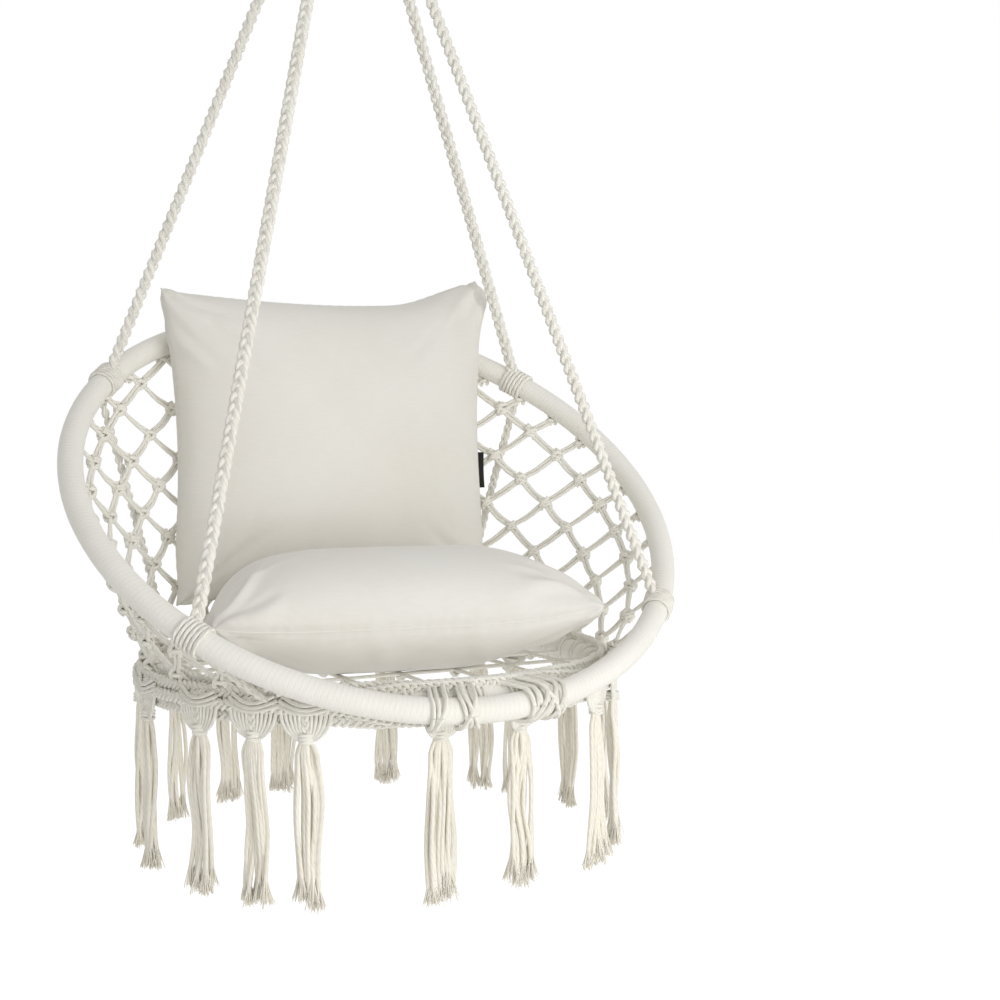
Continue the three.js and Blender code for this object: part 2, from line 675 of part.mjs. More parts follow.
const ties = tieBearings.map((bearing) => {
  const angle = rad(bearing);
  const half = tieWidth / 2 / upperHoop.radius;
  const { centre, out, up } = hoopFrame(upperHoop, angle);
  const foot = bandCentre(angle, rosetteDiameter / 2);
  const down = foot.clone().sub(centre);
  const from = Math.atan2(down.dot(up), down.dot(out)) + rad(tieStart);
  const open = [1, 0.5, 0].map((share) => from - (2 * Math.PI - rad(tieSweep)) * share);
  const wedge = loft([angle - 2 * half, angle + 2 * half].map((end) => [
    hoopPoint(upperHoop, end, 0, 0),
    ...open.map((section) => hoopPoint(upperHoop, end, wedgeReach, section)),
  ]));
  const strap = cut(hoopSleeve(upperHoop, angle - half, angle + half, tieOuter, tieInner), [wedge]);
  const knotTop = hoopPoint(upperHoop, angle, tieOuter - tieThickness / 2, from + rad(tieStart));
  return strap.add(toManifold(bar([foot, knotTop], tieThickness, tubeSides, () => out.clone())));
});
const bandSolid = ties.reduce((whole, tie) => whole.add(tie), join(band));
piece(hung, 'macrame_band', toGeometry(bandSolid), cord);

// Where the chair hangs: it tips about the ropes' stopper knot, which lies under the ring
const wireDrop = ringInnerDiameter + ringWire / 2;
const whippingTop = -wireDrop - eyeDrop;
const neckBottom = whippingTop - whippingLength - neckOverhang;
const meetDrop = neckBottom - headGap + ropeHeadDrop;
hung.rotation.set(rad(restTilt), rad(restRoll), 0);
const ballHeight = neckBottom + knotRise;
const knotMiddle = meet.clone().add(new THREE.Vector3(0, 0, ballHeight - meetDrop));
hung.position.copy(knotMiddle.clone().applyEuler(hung.rotation).negate());
hung.position.z += ballHeight;
hung.updateMatrixWorld(true);

// Steel ring, upright and facing the front
const ringRadius = (ringInnerDiameter + ringWire) / 2;
const ring = new THREE.TorusGeometry(ringRadius, ringWire / 2, tubeSides, ringSegments);
ring.rotateX(Math.PI / 2);
ring.translate(0, 0, -ringInnerDiameter / 2);
piece(chair, 'hanging_ring', ring, polishedSteel);

// Rope eye: it rocks on the wire, so its bore widens as the ring rises on both sides
const eyeRadius = ringWire / 2 + clearance + eyeThickness;
const eyeOutline = new THREE.Shape();
eyeOutline.absarc(0, 0, eyeRadius, 0, Math.PI, false);
eyeOutline.lineTo(-eyeRadius, -eyeDrop);
eyeOutline.lineTo(eyeRadius, -eyeDrop);
const eyeForm = { depth: eyeWidth, bevelEnabled: false, curveSegments: eyeSegments };
const eyeHead = new THREE.ExtrudeGeometry(eyeOutline, eyeForm);
eyeHead.translate(0, 0, -eyeWidth / 2);
eyeHead.rotateX(Math.PI / 2);
eyeHead.rotateZ(Math.PI / 2);
eyeHead.translate(0, 0, -wireDrop);
const neckLength = whippingTop - neckBottom + eyeThickness;
const neck = new THREE.CylinderGeometry(neckDiameter / 2, neckDiameter / 2, neckLength, neckSides);
neck.rotateX(Math.PI / 2);
neck.translate(0, 0, neckBottom + neckLength / 2);
const boreHalf = eyeWidth / 2 + overrun;
const chordSag = ringRadius * (1 - Math.cos(Math.PI / ringSegments));
const boreProfile = boreShares.map((share) => {
  const x = share * boreHalf;
  const rise = ringRadius - Math.sqrt(ringRadius ** 2 - x ** 2);
  return new THREE.Vector2((ringWire / 2 + clearance + chordSag + rise) / Math.cos(Math.PI / boreSides), x);
});
const bore = new THREE.LatheGeometry(
  [new THREE.Vector2(0, -boreHalf), ...boreProfile, new THREE.Vector2(0, boreHalf)],
  boreSides,
);
bore.rotateZ(-Math.PI / 2);
bore.translate(0, 0, -wireDrop);
// The socket in the neck, and the stopper knot in it, whose plug fills the space between the ropes
const ballRadius = knotBall / 2;
const stemRadius = knotStem / 2;
const ballArc = (radius, end) => Array.from({ length: knotSteps + 1 }, (_, i) => {
  const [r, z] = polar(radius, THREE.MathUtils.lerp(Math.PI / 2, end, i / knotSteps));
  return new THREE.Vector2(Math.max(r, 0), z);
});
const swing = rad(sidewaysSwing);
const socketWay = (depth) => stemRadius / Math.cos(swing) + depth * Math.tan(swing) + clearance;
const socketRadius = (ballRadius + clearance) / Math.cos(Math.PI / boreSides);
const socketDepth = knotRise + overrun;
const socket = new THREE.LatheGeometry([
  new THREE.Vector2(0, -socketDepth),
  new THREE.Vector2(socketWay(socketDepth), -socketDepth),
  ...ballArc(socketRadius, -Math.asin(socketNeckShare)).reverse(),
], boreSides);
const plugTop = knotRise + headGap;
const ropeHalf = ropeDiameter / 2 / Math.cos(Math.atan(ropeSpread));
const plugRadius = (drop) => ropeSpread * drop - ropeHalf - clearance;
const headKnot = new THREE.LatheGeometry([
  new THREE.Vector2(0, -plugTop - knotPlugLength),
  new THREE.Vector2(plugRadius(ropeHeadDrop + knotPlugLength), -plugTop - knotPlugLength),
  new THREE.Vector2(plugRadius(ropeHeadDrop), -plugTop),
  new THREE.Vector2(stemRadius, -plugTop),
  ...ballArc(ballRadius, -Math.acos(stemRadius / ballRadius)).reverse(),
], boreSides);
for (const geometry of [socket, headKnot]) geometry.rotateX(Math.PI / 2);
socket.translate(0, 0, ballHeight);
headKnot.translate(...knotMiddle.toArray());
piece(hung, 'head_knot', toGeometry(toManifold(headKnot)), cord);
const eye = toManifold(eyeHead).add(toManifold(neck)).subtract(toManifold(bore)).subtract(toManifold(socket));
piece(chair, 'rope_eye', toGeometry(eye), cord);

// Whipping round the neck
const whippingInner = neckDiameter / 2 + clearance;
const whippingOuter = whippingInner + whippingThickness;
const edge = whippingThickness / 2;
const whipping = new THREE.LatheGeometry([
  new THREE.Vector2(whippingInner, 0),
  new THREE.Vector2(whippingOuter - edge, 0),
  new THREE.Vector2(whippingOuter, edge),
  new THREE.Vector2(whippingOuter, whippingLength - edge - clearance),
  new THREE.Vector2(whippingOuter - edge, whippingLength - clearance),
  new THREE.Vector2(whippingInner, whippingLength - clearance),
  new THREE.Vector2(whippingInner, 0),
], neckSides);
whipping.rotateX(Math.PI / 2);
whipping.translate(0, 0, whippingTop - whippingLength);
piece(chair, 'eye_whipping', whipping, binding);

// Tassels hang plumb, each by a round head under its rosette
tasselAngles.forEach((angle, i) => {
  const seat = bandCentre(angle, rosetteDiameter / 2).applyMatrix4(hung.matrixWorld);
  const head = tasselHead / 2;
  const top = seat.z - (rosetteDiameter / 2) * Math.cos(Math.PI / bandSides) - clearance;
  const profile = [
    ...tasselHeadShares.map(([share, swell]) => [-share * tasselHead, swell, 1]),
    ...tasselSwellShares.map(([share, swell]) => [-share * tasselLength, swell, tasselFluteShare]),
  ];
  const rings = profile.map(([z, swell, fluting]) => {
    return Array.from({ length: tasselSides }, (_, s) => {
      const flute = s % 2 === 0 ? 1 : fluting;
      const [x, y] = polar(head * swell * flute, (2 * Math.PI * s) / tasselSides + angle);
      return new THREE.Vector3(x, y, z);
    });
  });
  const tassel = piece(chair, `tassel_${String(i + 1).padStart(2, '0')}`, loft(rings), cord);
  tassel.position.set(seat.x, seat.y, top);
});

// Cushions: a plump square with a crown, drawn-in sides and thin corners
function pillow({ width, depth, thickness, profile = () => 1, place }) {
  const positions = [];
  const grid = (side) => Array.from({ length: cushionGrid ** 2 }, (_, k) => {
    const i = k % cushionGrid;
    const j = Math.floor(k / cushionGrid);
    const border = i === 0 || j === 0 || i === cushionGrid - 1 || j === cushionGrid - 1;
    const u = Math.sin((i / (cushionGrid - 1) - 0.5) * Math.PI);
    const v = Math.sin((j / (cushionGrid - 1) - 0.5) * Math.PI);
    const draw = (a, b) => 1 - sideDrawShare * Math.abs(a) ** sideDrawPower * (1 - b ** 2);
    const crown = border ? 0 : ((1 - u ** crownPower) * (1 - v ** crownPower)) ** crownEdgeShare;
    const x = (width / 2) * u * draw(u, v);
    const y = (depth / 2) * v * draw(v, u);
    return { border, point: place(x, y, (side * thickness * crown * profile(v)) / 2) };
  });
  const top = grid(1);
  const bottom = grid(-1);
  top.forEach(({ point }) => positions.push(point.toArray()));
  const under = bottom.map(({ border, point }, k) => (border ? k : positions.push(point.toArray()) - 1));
  const indices = [];
  for (let j = 0; j < cushionGrid - 1; j += 1) {
    for (let i = 0; i < cushionGrid - 1; i += 1) {
      const a = j * cushionGrid + i;
      const [b, c, d] = [a + 1, a + cushionGrid + 1, a + cushionGrid];
      indices.push(a, b, c, a, c, d);
      indices.push(under[a], under[c], under[b], under[a], under[d], under[c]);
    }
  }
  return closedSolid(positions, indices);
}

// A cover with a zip slot in its rear seam, the zip that fills the slot, and the pad inside
function cushionPieces(name, shape) {
  const layer = (inset) => pillow({
    ...shape,
    width: shape.width - 2 * inset,
    depth: shape.depth - 2 * inset,
    thickness: shape.thickness - 2 * inset,
  });
  const slotAt = (length, height) => {
    const reach = (shape.depth / 2) * sideDrawShare + 2 * overrun;
    const slot = new THREE.BoxGeometry(length, reach, height, zipSteps);
    slot.translate(0, shape.depth / 2 - reach / 2 + overrun / 2, 0);
    const position = slot.attributes.position;
    for (let i = 0; i < position.count; i += 1) {
      position.setXYZ(i, ...shape.place(position.getX(i), position.getY(i), position.getZ(i)).toArray());
    }
    return slot;
  };
  const outer = layer(0);
  const inner = layer(coverThickness);
  const cover = cut(outer, [inner, slotAt(zipLength, zipWidth)]);
  const shell = cut(outer, [layer(coverThickness)]);
  const zip = shell.intersect(toManifold(slotAt(zipLength - 2 * clearance, zipWidth - 2 * clearance)));
  piece(hung, `${name}_cover`, toGeometry(cover), canvas);
  piece(hung, `${name}_pad`, layer(coverThickness + 2 * clearance), filling);
  piece(hung, `${name}_zip`, toGeometry(zip), zipTape);
  return outer;
}

// Cushions give way where the net holds them: how far out a place ends up, from the reach there
function heldAt(r, reach, easeShare) {
  const easy = reach * easeShare;
  if (r <= easy) return r;
  return easy + (reach - easy) * (1 - Math.exp(-(r - easy) / (reach - easy)));
}

// The seat cushion lies on the seat net, spread until the net holds it, and is thin at the rear
const seatTurn = rad(seatCushionTurn);
const spread = (x, y) => {
  const r = Math.hypot(x, y);
  if (r === 0) return [x, y];
  const held = heldAt(r, basketReach, basketEaseShare);
  return [(x * held) / r, (y * held) / r];
};
const seatProfile = (v) => {
  const share = THREE.MathUtils.smoothstep(v, ...seatThinShares);
  return 1 + (seatCushionBackShare - 1) * share;
};
const seatRest = seatNetHeight / 2 + clearance;
const seatPlace = (x, y, z) => {
  const [c, s] = [Math.cos(seatTurn), Math.sin(seatTurn)];
  const [px, py] = spread(
    seatCushionCentre[0] + x * c - y * s,
    seatCushionCentre[1] + x * s + y * c,
  );
  const corner = Math.abs((4 * x * y) / (cushionWidth * cushionDepth)) ** seatCornerPower;
  const v = y / (cushionDepth / 2);
  const level = (cushionThickness / 2) * seatProfile(Math.min(Math.max(v, -1), 1));
  return new THREE.Vector3(px, py, z + seatRest + level + corner * cushionThickness * seatCornerLiftShare);
};
const seatOuter = cushionPieces('seat_cushion', {
  width: cushionWidth,
  depth: cushionDepth,
  thickness: cushionThickness,
  profile: seatProfile,
  place: seatPlace,
});

// The back cushion stands on the seat cushion against the net, with one upper corner pulled up
const lean = rad(backCushionLean);
const earShare = (x, y) => {
  const across = THREE.MathUtils.smoothstep(-x, cushionWidth / 2 - earWidth, cushionWidth / 2);
  return across * THREE.MathUtils.smoothstep(-y, backCushionHeight / 2 - earWidth, backCushionHeight / 2);
};
const bearingOf = (point) => Math.atan2(point.y, point.x);

// The net and the upper hoop hold it from behind and from both sides
function pressed(point) {
  let angle = bearingOf(point);
  for (let i = 0; i < bearingTries; i += 1) angle += bearingOf(point) - bearingOf(netPoint(angle, point.z));
  const net = netPoint(angle, point.z);
  const near = THREE.MathUtils.smoothstep(point.z, netTop(angle) - hoopReachHeight, netTop(angle));
  const depth = THREE.MathUtils.lerp(netKnot / 2, bindingRadius, near);
  const reach = Math.hypot(net.x, net.y) - depth - netHoopMargin;
  const r = Math.hypot(point.x, point.y);
  const held = heldAt(r, reach, backEaseShare) / r;
  return point.set(point.x * held, point.y * held, point.z);
}
const backPlaceAt = ({ back, drop }) => (x, y, z) => {
  const foot = THREE.MathUtils.smoothstep(y, backCushionHeight / 2 - footHeight, backCushionHeight / 2);
  return pressed(new THREE.Vector3(
    backCushionOffset - x * (1 - footDrawShare * foot),
    back - y * Math.sin(lean) - z * Math.cos(lean) - footDepth * foot,
    backCushionHeight / 2 - y * Math.cos(lean) + z * Math.sin(lean) - drop + earRise * earShare(x, y),
  ));
};
const backShape = (at) => ({
  width: cushionWidth,
  depth: backCushionHeight,
  thickness: cushionThickness,
  place: backPlaceAt(at),
});
const touches = (at, others) => {
  const cushion = toManifold(pillow(backShape(at)));
  return others.some((other) => !cushion.intersect(other).isEmpty());
};

// The furthest clear place between two ends, found by halving
function lastClear(clearEnd, blockedEnd, blocked) {
  let [near, far] = [clearEnd, blockedEnd];
  while (Math.abs(far - near) > clearance / 8) {
    const middle = (near + far) / 2;
    if (blocked(middle)) far = middle;
    else near = middle;
  }
  return near;
}

// It drops onto the seat cushion with its back against the net, and its corners stand behind the ropes
// or else in front of them
const seatSolid = toManifold(seatOuter);
const dropAt = (back) => {
  const rests = (drop) => touches({ back, drop }, [seatSolid]);
  return lastClear(-cushionThickness, cushionThickness, rests) - clearance;
};
const beside = hung.children
  .filter(({ name }) => /^(lashing|rope|upper_hoop)/.test(name))
  .map(({ geometry }) => toManifold(geometry));
let back = netPoint(backAngle, cushionDepth / 2).y - bindingRadius - (cushionThickness / 2) * backSinkShare;
while (back > 0 && touches({ back, drop: dropAt(back) }, beside)) back -= backStep;
const backAt = { back, drop: dropAt(back) };
cushionPieces('back_cushion', backShape(backAt));

// Side tag sewn into the back cushion's right-hand seam
const tag = new THREE.BoxGeometry(tagWidth, tagLength, tagThickness);
const tagEnd = 2 * Math.abs(0.5 - tagHeightShare) + tagLength / backCushionHeight;
const tagStep = Math.floor((Math.asin(tagEnd) / Math.PI + 0.5) * (cushionGrid - 1));
const seamAt = (k) => Math.sin((k / (cushionGrid - 1) - 0.5) * Math.PI);
const [seamFrom, seamTo] = [seamAt(tagStep), seamAt(tagStep + 1)];
const seamRun = (tagEnd - seamFrom) / (seamTo - seamFrom);
const seamDraw = sideDrawShare * THREE.MathUtils.lerp(1 - seamFrom ** 2, 1 - seamTo ** 2, seamRun);
const seamX = -(cushionWidth / 2) * (1 - seamDraw) - clearance - tagWidth / 2;
tag.translate(seamX, backCushionHeight * (0.5 - tagHeightShare), 0);
const tagPoints = tag.attributes.position;
const tagPlace = backPlaceAt(backAt);
for (let i = 0; i < tagPoints.count; i += 1) {
  const at = tagPlace(tagPoints.getX(i), tagPoints.getY(i), tagPoints.getZ(i));
  tagPoints.setXYZ(i, at.x, at.y, at.z);
}
piece(hung, 'back_cushion_tag', tag, label);

export default chair;
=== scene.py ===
# %% [markdown]
# A macrame hanging chair, dressed in Blender. The imported model gives the frame: two steel hoops, the ropes
# that hold them, the net between them, the fringe and two cushions, each at its place in metres. This
# script keeps that frame and builds the surfaces that an eye sees: wound cord, plaits, knots, frayed
# ends and soft canvas. The first cell loads the frame.

# %% Load the frame
import math
import random

import bmesh
import bpy
import numpy as np
from mathutils import Euler, Matrix, Vector
from mathutils.bvhtree import BVHTree


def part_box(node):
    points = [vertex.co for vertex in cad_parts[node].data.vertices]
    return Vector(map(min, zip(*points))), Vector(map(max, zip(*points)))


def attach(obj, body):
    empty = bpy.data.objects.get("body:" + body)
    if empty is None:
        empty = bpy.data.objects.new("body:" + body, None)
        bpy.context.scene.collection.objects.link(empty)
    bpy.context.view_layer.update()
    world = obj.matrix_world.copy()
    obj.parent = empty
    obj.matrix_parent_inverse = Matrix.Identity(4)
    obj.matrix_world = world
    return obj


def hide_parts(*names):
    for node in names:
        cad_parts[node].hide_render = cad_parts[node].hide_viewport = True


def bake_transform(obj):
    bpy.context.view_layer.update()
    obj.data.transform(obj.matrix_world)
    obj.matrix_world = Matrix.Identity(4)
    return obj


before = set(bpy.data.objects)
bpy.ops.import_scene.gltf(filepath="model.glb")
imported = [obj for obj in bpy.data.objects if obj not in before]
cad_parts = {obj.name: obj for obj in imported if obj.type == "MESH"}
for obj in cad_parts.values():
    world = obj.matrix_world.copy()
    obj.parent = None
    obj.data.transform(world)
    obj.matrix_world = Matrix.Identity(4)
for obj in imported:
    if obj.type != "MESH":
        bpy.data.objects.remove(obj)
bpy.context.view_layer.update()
MM = 0.001
TURN = 2 * math.pi

# %% [markdown]
# The chair was drawn round the centre of its seat hoop, and then tipped by a fraction of a degree until its
# weight hung under the ring. It is easiest to think in the seat hoop's own millimetres, so one helper turns
# such a point into the frame's metres. The other helpers are small things that every later cell uses.

# %% The seat hoop's own frame
REST_TILT = math.radians(-0.57)
REST_ROLL = math.radians(0.41)
low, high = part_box("lower_hoop_tube")
seat_origin = (Vector(low) + Vector(high)) / 2
seat_turn = Euler((REST_TILT, REST_ROLL, 0), "XYZ").to_matrix()


def place(x, y, z):
    """A point in the seat hoop's millimetres, in the frame's metres."""
    return seat_origin + seat_turn @ Vector((x, y, z)) * MM


def point_in_seat(world):
    """The seat hoop's millimetres of a point in the frame's metres."""
    return seat_turn.transposed() @ (Vector(world) - seat_origin) / MM


def spoke(angle, rise=0.0):
    """The direction away from the seat's middle at an angle."""
    return Vector((math.cos(angle), math.sin(angle), rise))


def rim(angle):
    """The level direction along a hoop's rim at an angle."""
    return Vector((-math.sin(angle), math.cos(angle), 0))


def shares(count):
    """From 0 to 1 in a number of equal steps."""
    return [i / count for i in range(count + 1)]


def smooth_step(value, low, high):
    """From 0 at low to 1 at high, without a corner at either."""
    t = min(max((value - low) / (high - low), 0), 1)
    return t * t * (3 - 2 * t)


def add_object(name, data):
    made = bpy.data.objects.new(name, data)
    bpy.context.collection.objects.link(made)
    return made


def dress(piece, body, slot, *nodes):
    """Hangs a piece on its body and hides the nodes that it stands in for. Its slot is not used."""
    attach(piece, body)
    if nodes:
        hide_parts(*nodes)


def faces_of(piece):
    return sum(len(p.vertices) - 2 for p in piece.data.polygons)


print("seat hoop centre:", [round(v, 4) for v in seat_origin])

# %% [markdown]
# The camera stands where the photographer stood. Its place and angle are those of a pinhole camera
# fitted to the outlines of both hoops, so they are written here as plain sizes.

# %% Camera
CAMERA_PLACE = (-777.4, -1844.3, 308.0)
CAMERA_YAW = math.radians(27.43)
CAMERA_PITCH = math.radians(2.72)
CAMERA_ROLL = math.radians(-0.355)
FOCAL_PIXELS = 1548.28
FRAME_PIXELS = 1000
SENSOR = 36.0

ahead = Vector((
    math.sin(CAMERA_YAW) * math.cos(CAMERA_PITCH),
    math.cos(CAMERA_YAW) * math.cos(CAMERA_PITCH),
    -math.sin(CAMERA_PITCH),
))
level = Vector((math.cos(CAMERA_YAW), -math.sin(CAMERA_YAW), 0))
above = level.cross(ahead)
right = level * math.cos(CAMERA_ROLL) + above * math.sin(CAMERA_ROLL)
up = above * math.cos(CAMERA_ROLL) - level * math.sin(CAMERA_ROLL)
camera_data = bpy.data.cameras.new("camera")
camera_data.sensor_width = SENSOR
camera_data.lens = SENSOR * FOCAL_PIXELS / FRAME_PIXELS
camera = add_object("camera", camera_data)
camera_turn = seat_turn @ Matrix((right, up, -ahead)).transposed()
camera.matrix_world = Matrix.Translation(place(*CAMERA_PLACE)) @ camera_turn.to_4x4()
scene = bpy.context.scene
scene.camera = camera
print("lens:", round(camera_data.lens, 2), "mm")

# %% [markdown]
# Every material and every grown shape is a node tree, so a few helpers come first: one adds a node and feeds
# its inputs, others give a tree its named inputs.


# %% Helpers for node trees
def find_socket(sockets, key):
    """A socket by its place, its identifier or its name."""
    if isinstance(key, int):
        return sockets[key]
    for socket in sockets:
        if socket.identifier == key:
            return socket
    return sockets[key]


class Wires:
    """Adds nodes to a tree; an input may be a number, a vector or another node's output."""

    def __init__(self, tree):
        self.tree = tree

    def feed(self, socket, value):
        if isinstance(value, bpy.types.NodeSocket):
            self.tree.links.new(value, socket)
        elif value is not None:
            socket.default_value = value

    def node(self, kind, feeds=(), **settings):
        made = self.tree.nodes.new(kind)
        for name, value in settings.items():
            setattr(made, name, value)
        for key, value in dict(feeds).items():
            self.feed(find_socket(made.inputs, key), value)
        return made

    def math(self, operation, *values):
        made = self.node("ShaderNodeMath", enumerate(values), operation=operation)
        return made.outputs[0]

    def plus(self, a, b):
        return self.math("ADD", a, b)

    def minus(self, a, b):
        return self.math("SUBTRACT", a, b)

    def times(self, a, b):
        return self.math("MULTIPLY", a, b)

    def over(self, a, b):
        return self.math("DIVIDE", a, b)

    def vector(self, operation, *values):
        made = self.node("ShaderNodeVectorMath", enumerate(values), operation=operation)
        return made.outputs[1] if operation == "DOT_PRODUCT" else made.outputs[0]

    def scaled(self, vector, scale):
        return self.node("ShaderNodeVectorMath", {0: vector, "Scale": scale}, operation="SCALE").outputs[0]

    def noise(self, where, scale, detail=2.0):
        return self.node("ShaderNodeTexNoise", {"Vector": where, "Scale": scale, "Detail": detail}).outputs[0]

    def in_object(self):
        return self.node("ShaderNodeTexCoord").outputs["Object"]


def add_inputs(tree, values):
    """Gives a tree its named inputs. An input without a value is a material or an object."""
    for name, value in values.items():
        if value is None:
            kind = "NodeSocketMaterial" if name == "Material" else "NodeSocketObject"
        else:
            kind = "NodeSocketInt" if isinstance(value, int) else "NodeSocketFloat"
        socket = tree.interface.new_socket(name, in_out="INPUT", socket_type=kind)
        if value is not None:
            socket.default_value = value


# %% [markdown]
# Light in a product studio is large and soft: a wide lamp in front, to the camera's right, weaker ones low
# in front and high behind, and a pale room. The room is white to the camera. The floor lies where a porch
# floor would, and keeps the chair's soft shadow.

# %% Room, floor and lamps
ROOM_TINT = (1.0, 0.996, 0.99, 1)
ROOM_STRENGTH = 0.62
WHITE = (1, 1, 1, 1)
FLOOR_DROP = 640  # below the seat hoop
FLOOR_SIZE = 14.0
FLOOR_TINT = (0.93, 0.93, 0.92, 1)
FLOOR_GLOW, FLOOR_GLOW_SHARE = 1.22, 0.75
LAMP_AIM = (0, 0, 200)
LAMPS = (  # name, place, width in metres, watts
    ("key_box", (700, -2300, 450), 1.6, 20),
    ("fill_box", (-200, -2000, -900), 1.6, 14),
    ("back_box", (500, 2300, 900), 1.8, 9),
)


def rays_that_see(w):
    """1 for rays that see the room itself: from the camera, in a gloss or through glass."""
    path = w.node("ShaderNodeLightPath").outputs
    seen = w.math("MAXIMUM", path["Is Camera Ray"], path["Is Glossy Ray"])
    return w.math("MAXIMUM", seen, path["Is Transmission Ray"])


scene.view_settings.view_transform = "Standard"
scene.world = bpy.data.worlds.new("studio")
scene.world.use_nodes = True
scene.world.node_tree.nodes.clear()
w = Wires(scene.world.node_tree)
soft = w.node("ShaderNodeBackground", {"Color": ROOM_TINT, "Strength": ROOM_STRENGTH}).outputs[0]
white = w.node("ShaderNodeBackground", {"Color": WHITE, "Strength": 1.0}).outputs[0]
room = w.node("ShaderNodeMixShader", {0: rays_that_see(w), 1: soft, 2: white}).outputs[0]
w.node("ShaderNodeOutputWorld", {"Surface": room})

bpy.ops.mesh.primitive_plane_add(size=FLOOR_SIZE, location=place(0, 0, -FLOOR_DROP))
floor = bpy.context.object
floor.name = "floor"
floor_paint = bpy.data.materials.new("pale_floor")
floor_paint.use_nodes = True
floor_paint.node_tree.nodes.clear()
w = Wires(floor_paint.node_tree)
dull = w.node("ShaderNodeBsdfDiffuse", {"Color": FLOOR_TINT}).outputs[0]
glow = w.node("ShaderNodeEmission", {"Strength": FLOOR_GLOW}).outputs[0]
seen = w.times(rays_that_see(w), FLOOR_GLOW_SHARE)
w.node("ShaderNodeOutputMaterial", {
    "Surface": w.node("ShaderNodeMixShader", {0: seen, 1: dull, 2: glow}).outputs[0],
})
floor.data.materials.append(floor_paint)

for name, spot, width, watts in LAMPS:
    lamp = bpy.data.lights.new(name, "AREA")
    lamp.size = width
    lamp.energy = watts
    light = add_object(name, lamp)
    light.location = place(*spot)
    aim = place(*LAMP_AIM) - light.location
    light.rotation_euler = aim.to_track_quat("-Z", "Y").to_euler()
print("lamps:", len(LAMPS))

# %% [markdown]
# Cotton is the one stuff of this chair. Its cords show a twist of plies and a fuzz of short fibres, and its
# cloth shows a plain weave. Both effects are shader node groups, built once and placed in each material
# with its own values. Cords carry a map whose first axis runs round the cord and whose second runs along
# it in metres; the cloth's weave reads a map of the flat cut.


# %% Twisted cotton and woven canvas as node groups
def shader_group(name, inputs, outputs):
    """An empty shader group: the tree, its wires, its inputs and its outputs."""
    tree = bpy.data.node_groups.new(name, "ShaderNodeTree")
    add_inputs(tree, inputs)
    for label in outputs:
        tree.interface.new_socket(label, in_out="OUTPUT", socket_type="NodeSocketFloat")
    w = Wires(tree)
    return tree, w, w.node("NodeGroupInput").outputs, w.node("NodeGroupOutput").inputs


def make_ply_group():
    """Plies that wind round a cord, with fibre fuzz. Height and groove are 0 to 1."""
    inputs = {"Plies": 3.0, "Pitch": 0.014, "Fuzz": 1400.0}
    tree, w, given, out = shader_group("twisted_plies", inputs, ("Height", "Groove", "Fibre"))
    uv = w.node("ShaderNodeUVMap", uv_map="cord").outputs[0]
    around, along = w.node("ShaderNodeSeparateXYZ", {0: uv}).outputs[:2]
    turns = w.times(around, given["Plies"])
    phase = w.math("FRACT", w.plus(turns, w.over(along, given["Pitch"])))
    plies = w.math("POWER", w.math("SINE", w.times(phase, math.pi)), 0.6)
    fuzz = w.noise(w.in_object(), given["Fuzz"], 3.0)
    w.feed(out["Height"], w.plus(plies, w.times(fuzz, 0.35)))
    w.feed(out["Groove"], w.minus(1.0, plies))
    w.feed(out["Fibre"], fuzz)
    return tree


def make_weave_group():
    """A plain weave over and under, from two sets of threads, with slubs."""
    inputs = {"Thread": 0.0009, "Slub": 60.0}
    tree, w, given, out = shader_group("plain_weave", inputs, ("Height", "Slubs", "Cloudy"))
    uv = w.node("ShaderNodeUVMap", uv_map="cloth").outputs[0]
    parts = w.node("ShaderNodeSeparateXYZ", {0: uv}).outputs
    across, along = (
        w.math("SINE", w.times(w.over(parts[axis], given["Thread"]), math.pi)) for axis in (0, 1)
    )
    stretched = w.vector("MULTIPLY", uv, (1.0, 9.0, 1.0))
    slubs = w.noise(stretched, given["Slub"])
    w.feed(out["Height"], w.plus(w.times(w.times(across, along), 0.5), slubs))
    w.feed(out["Slubs"], slubs)
    w.feed(out["Cloudy"], w.noise(w.in_object(), 7.0, 4.0))
    return tree


ply_group = make_ply_group()
weave_group = make_weave_group()
print("groups:", ply_group.name, weave_group.name)


# %% Materials
def linear(red, green, blue):
    """A screen colour from 0 to 255, as the shader's linear colour."""
    def one(value):
        share = value / 255
        return share / 12.92 if share <= 0.04045 else ((share + 0.055) / 1.055) ** 2.4
    return (one(red), one(green), one(blue), 1.0)


def blank_material(name, looks):
    """A material with only an output and a Principled shader."""
    made = bpy.data.materials.new(name)
    made.use_nodes = True
    made.node_tree.nodes.clear()
    w = Wires(made.node_tree)
    shader = w.node("ShaderNodeBsdfPrincipled", looks)
    w.node("ShaderNodeOutputMaterial", {"Surface": shader.outputs[0]})
    return made, w, shader.inputs


def colour_by(w, shader, share, pale, deep):
    """Mixes two colours by a share."""
    mix = w.node("ShaderNodeMix", {0: share, 6: pale, 7: deep}, data_type="RGBA", clamp_factor=True)
    w.feed(shader["Base Color"], mix.outputs[2])


def emboss(w, shader, height, strength, distance):
    relief = w.node("ShaderNodeBump", {"Height": height, "Strength": strength, "Distance": distance})
    w.feed(shader["Normal"], relief.outputs[0])


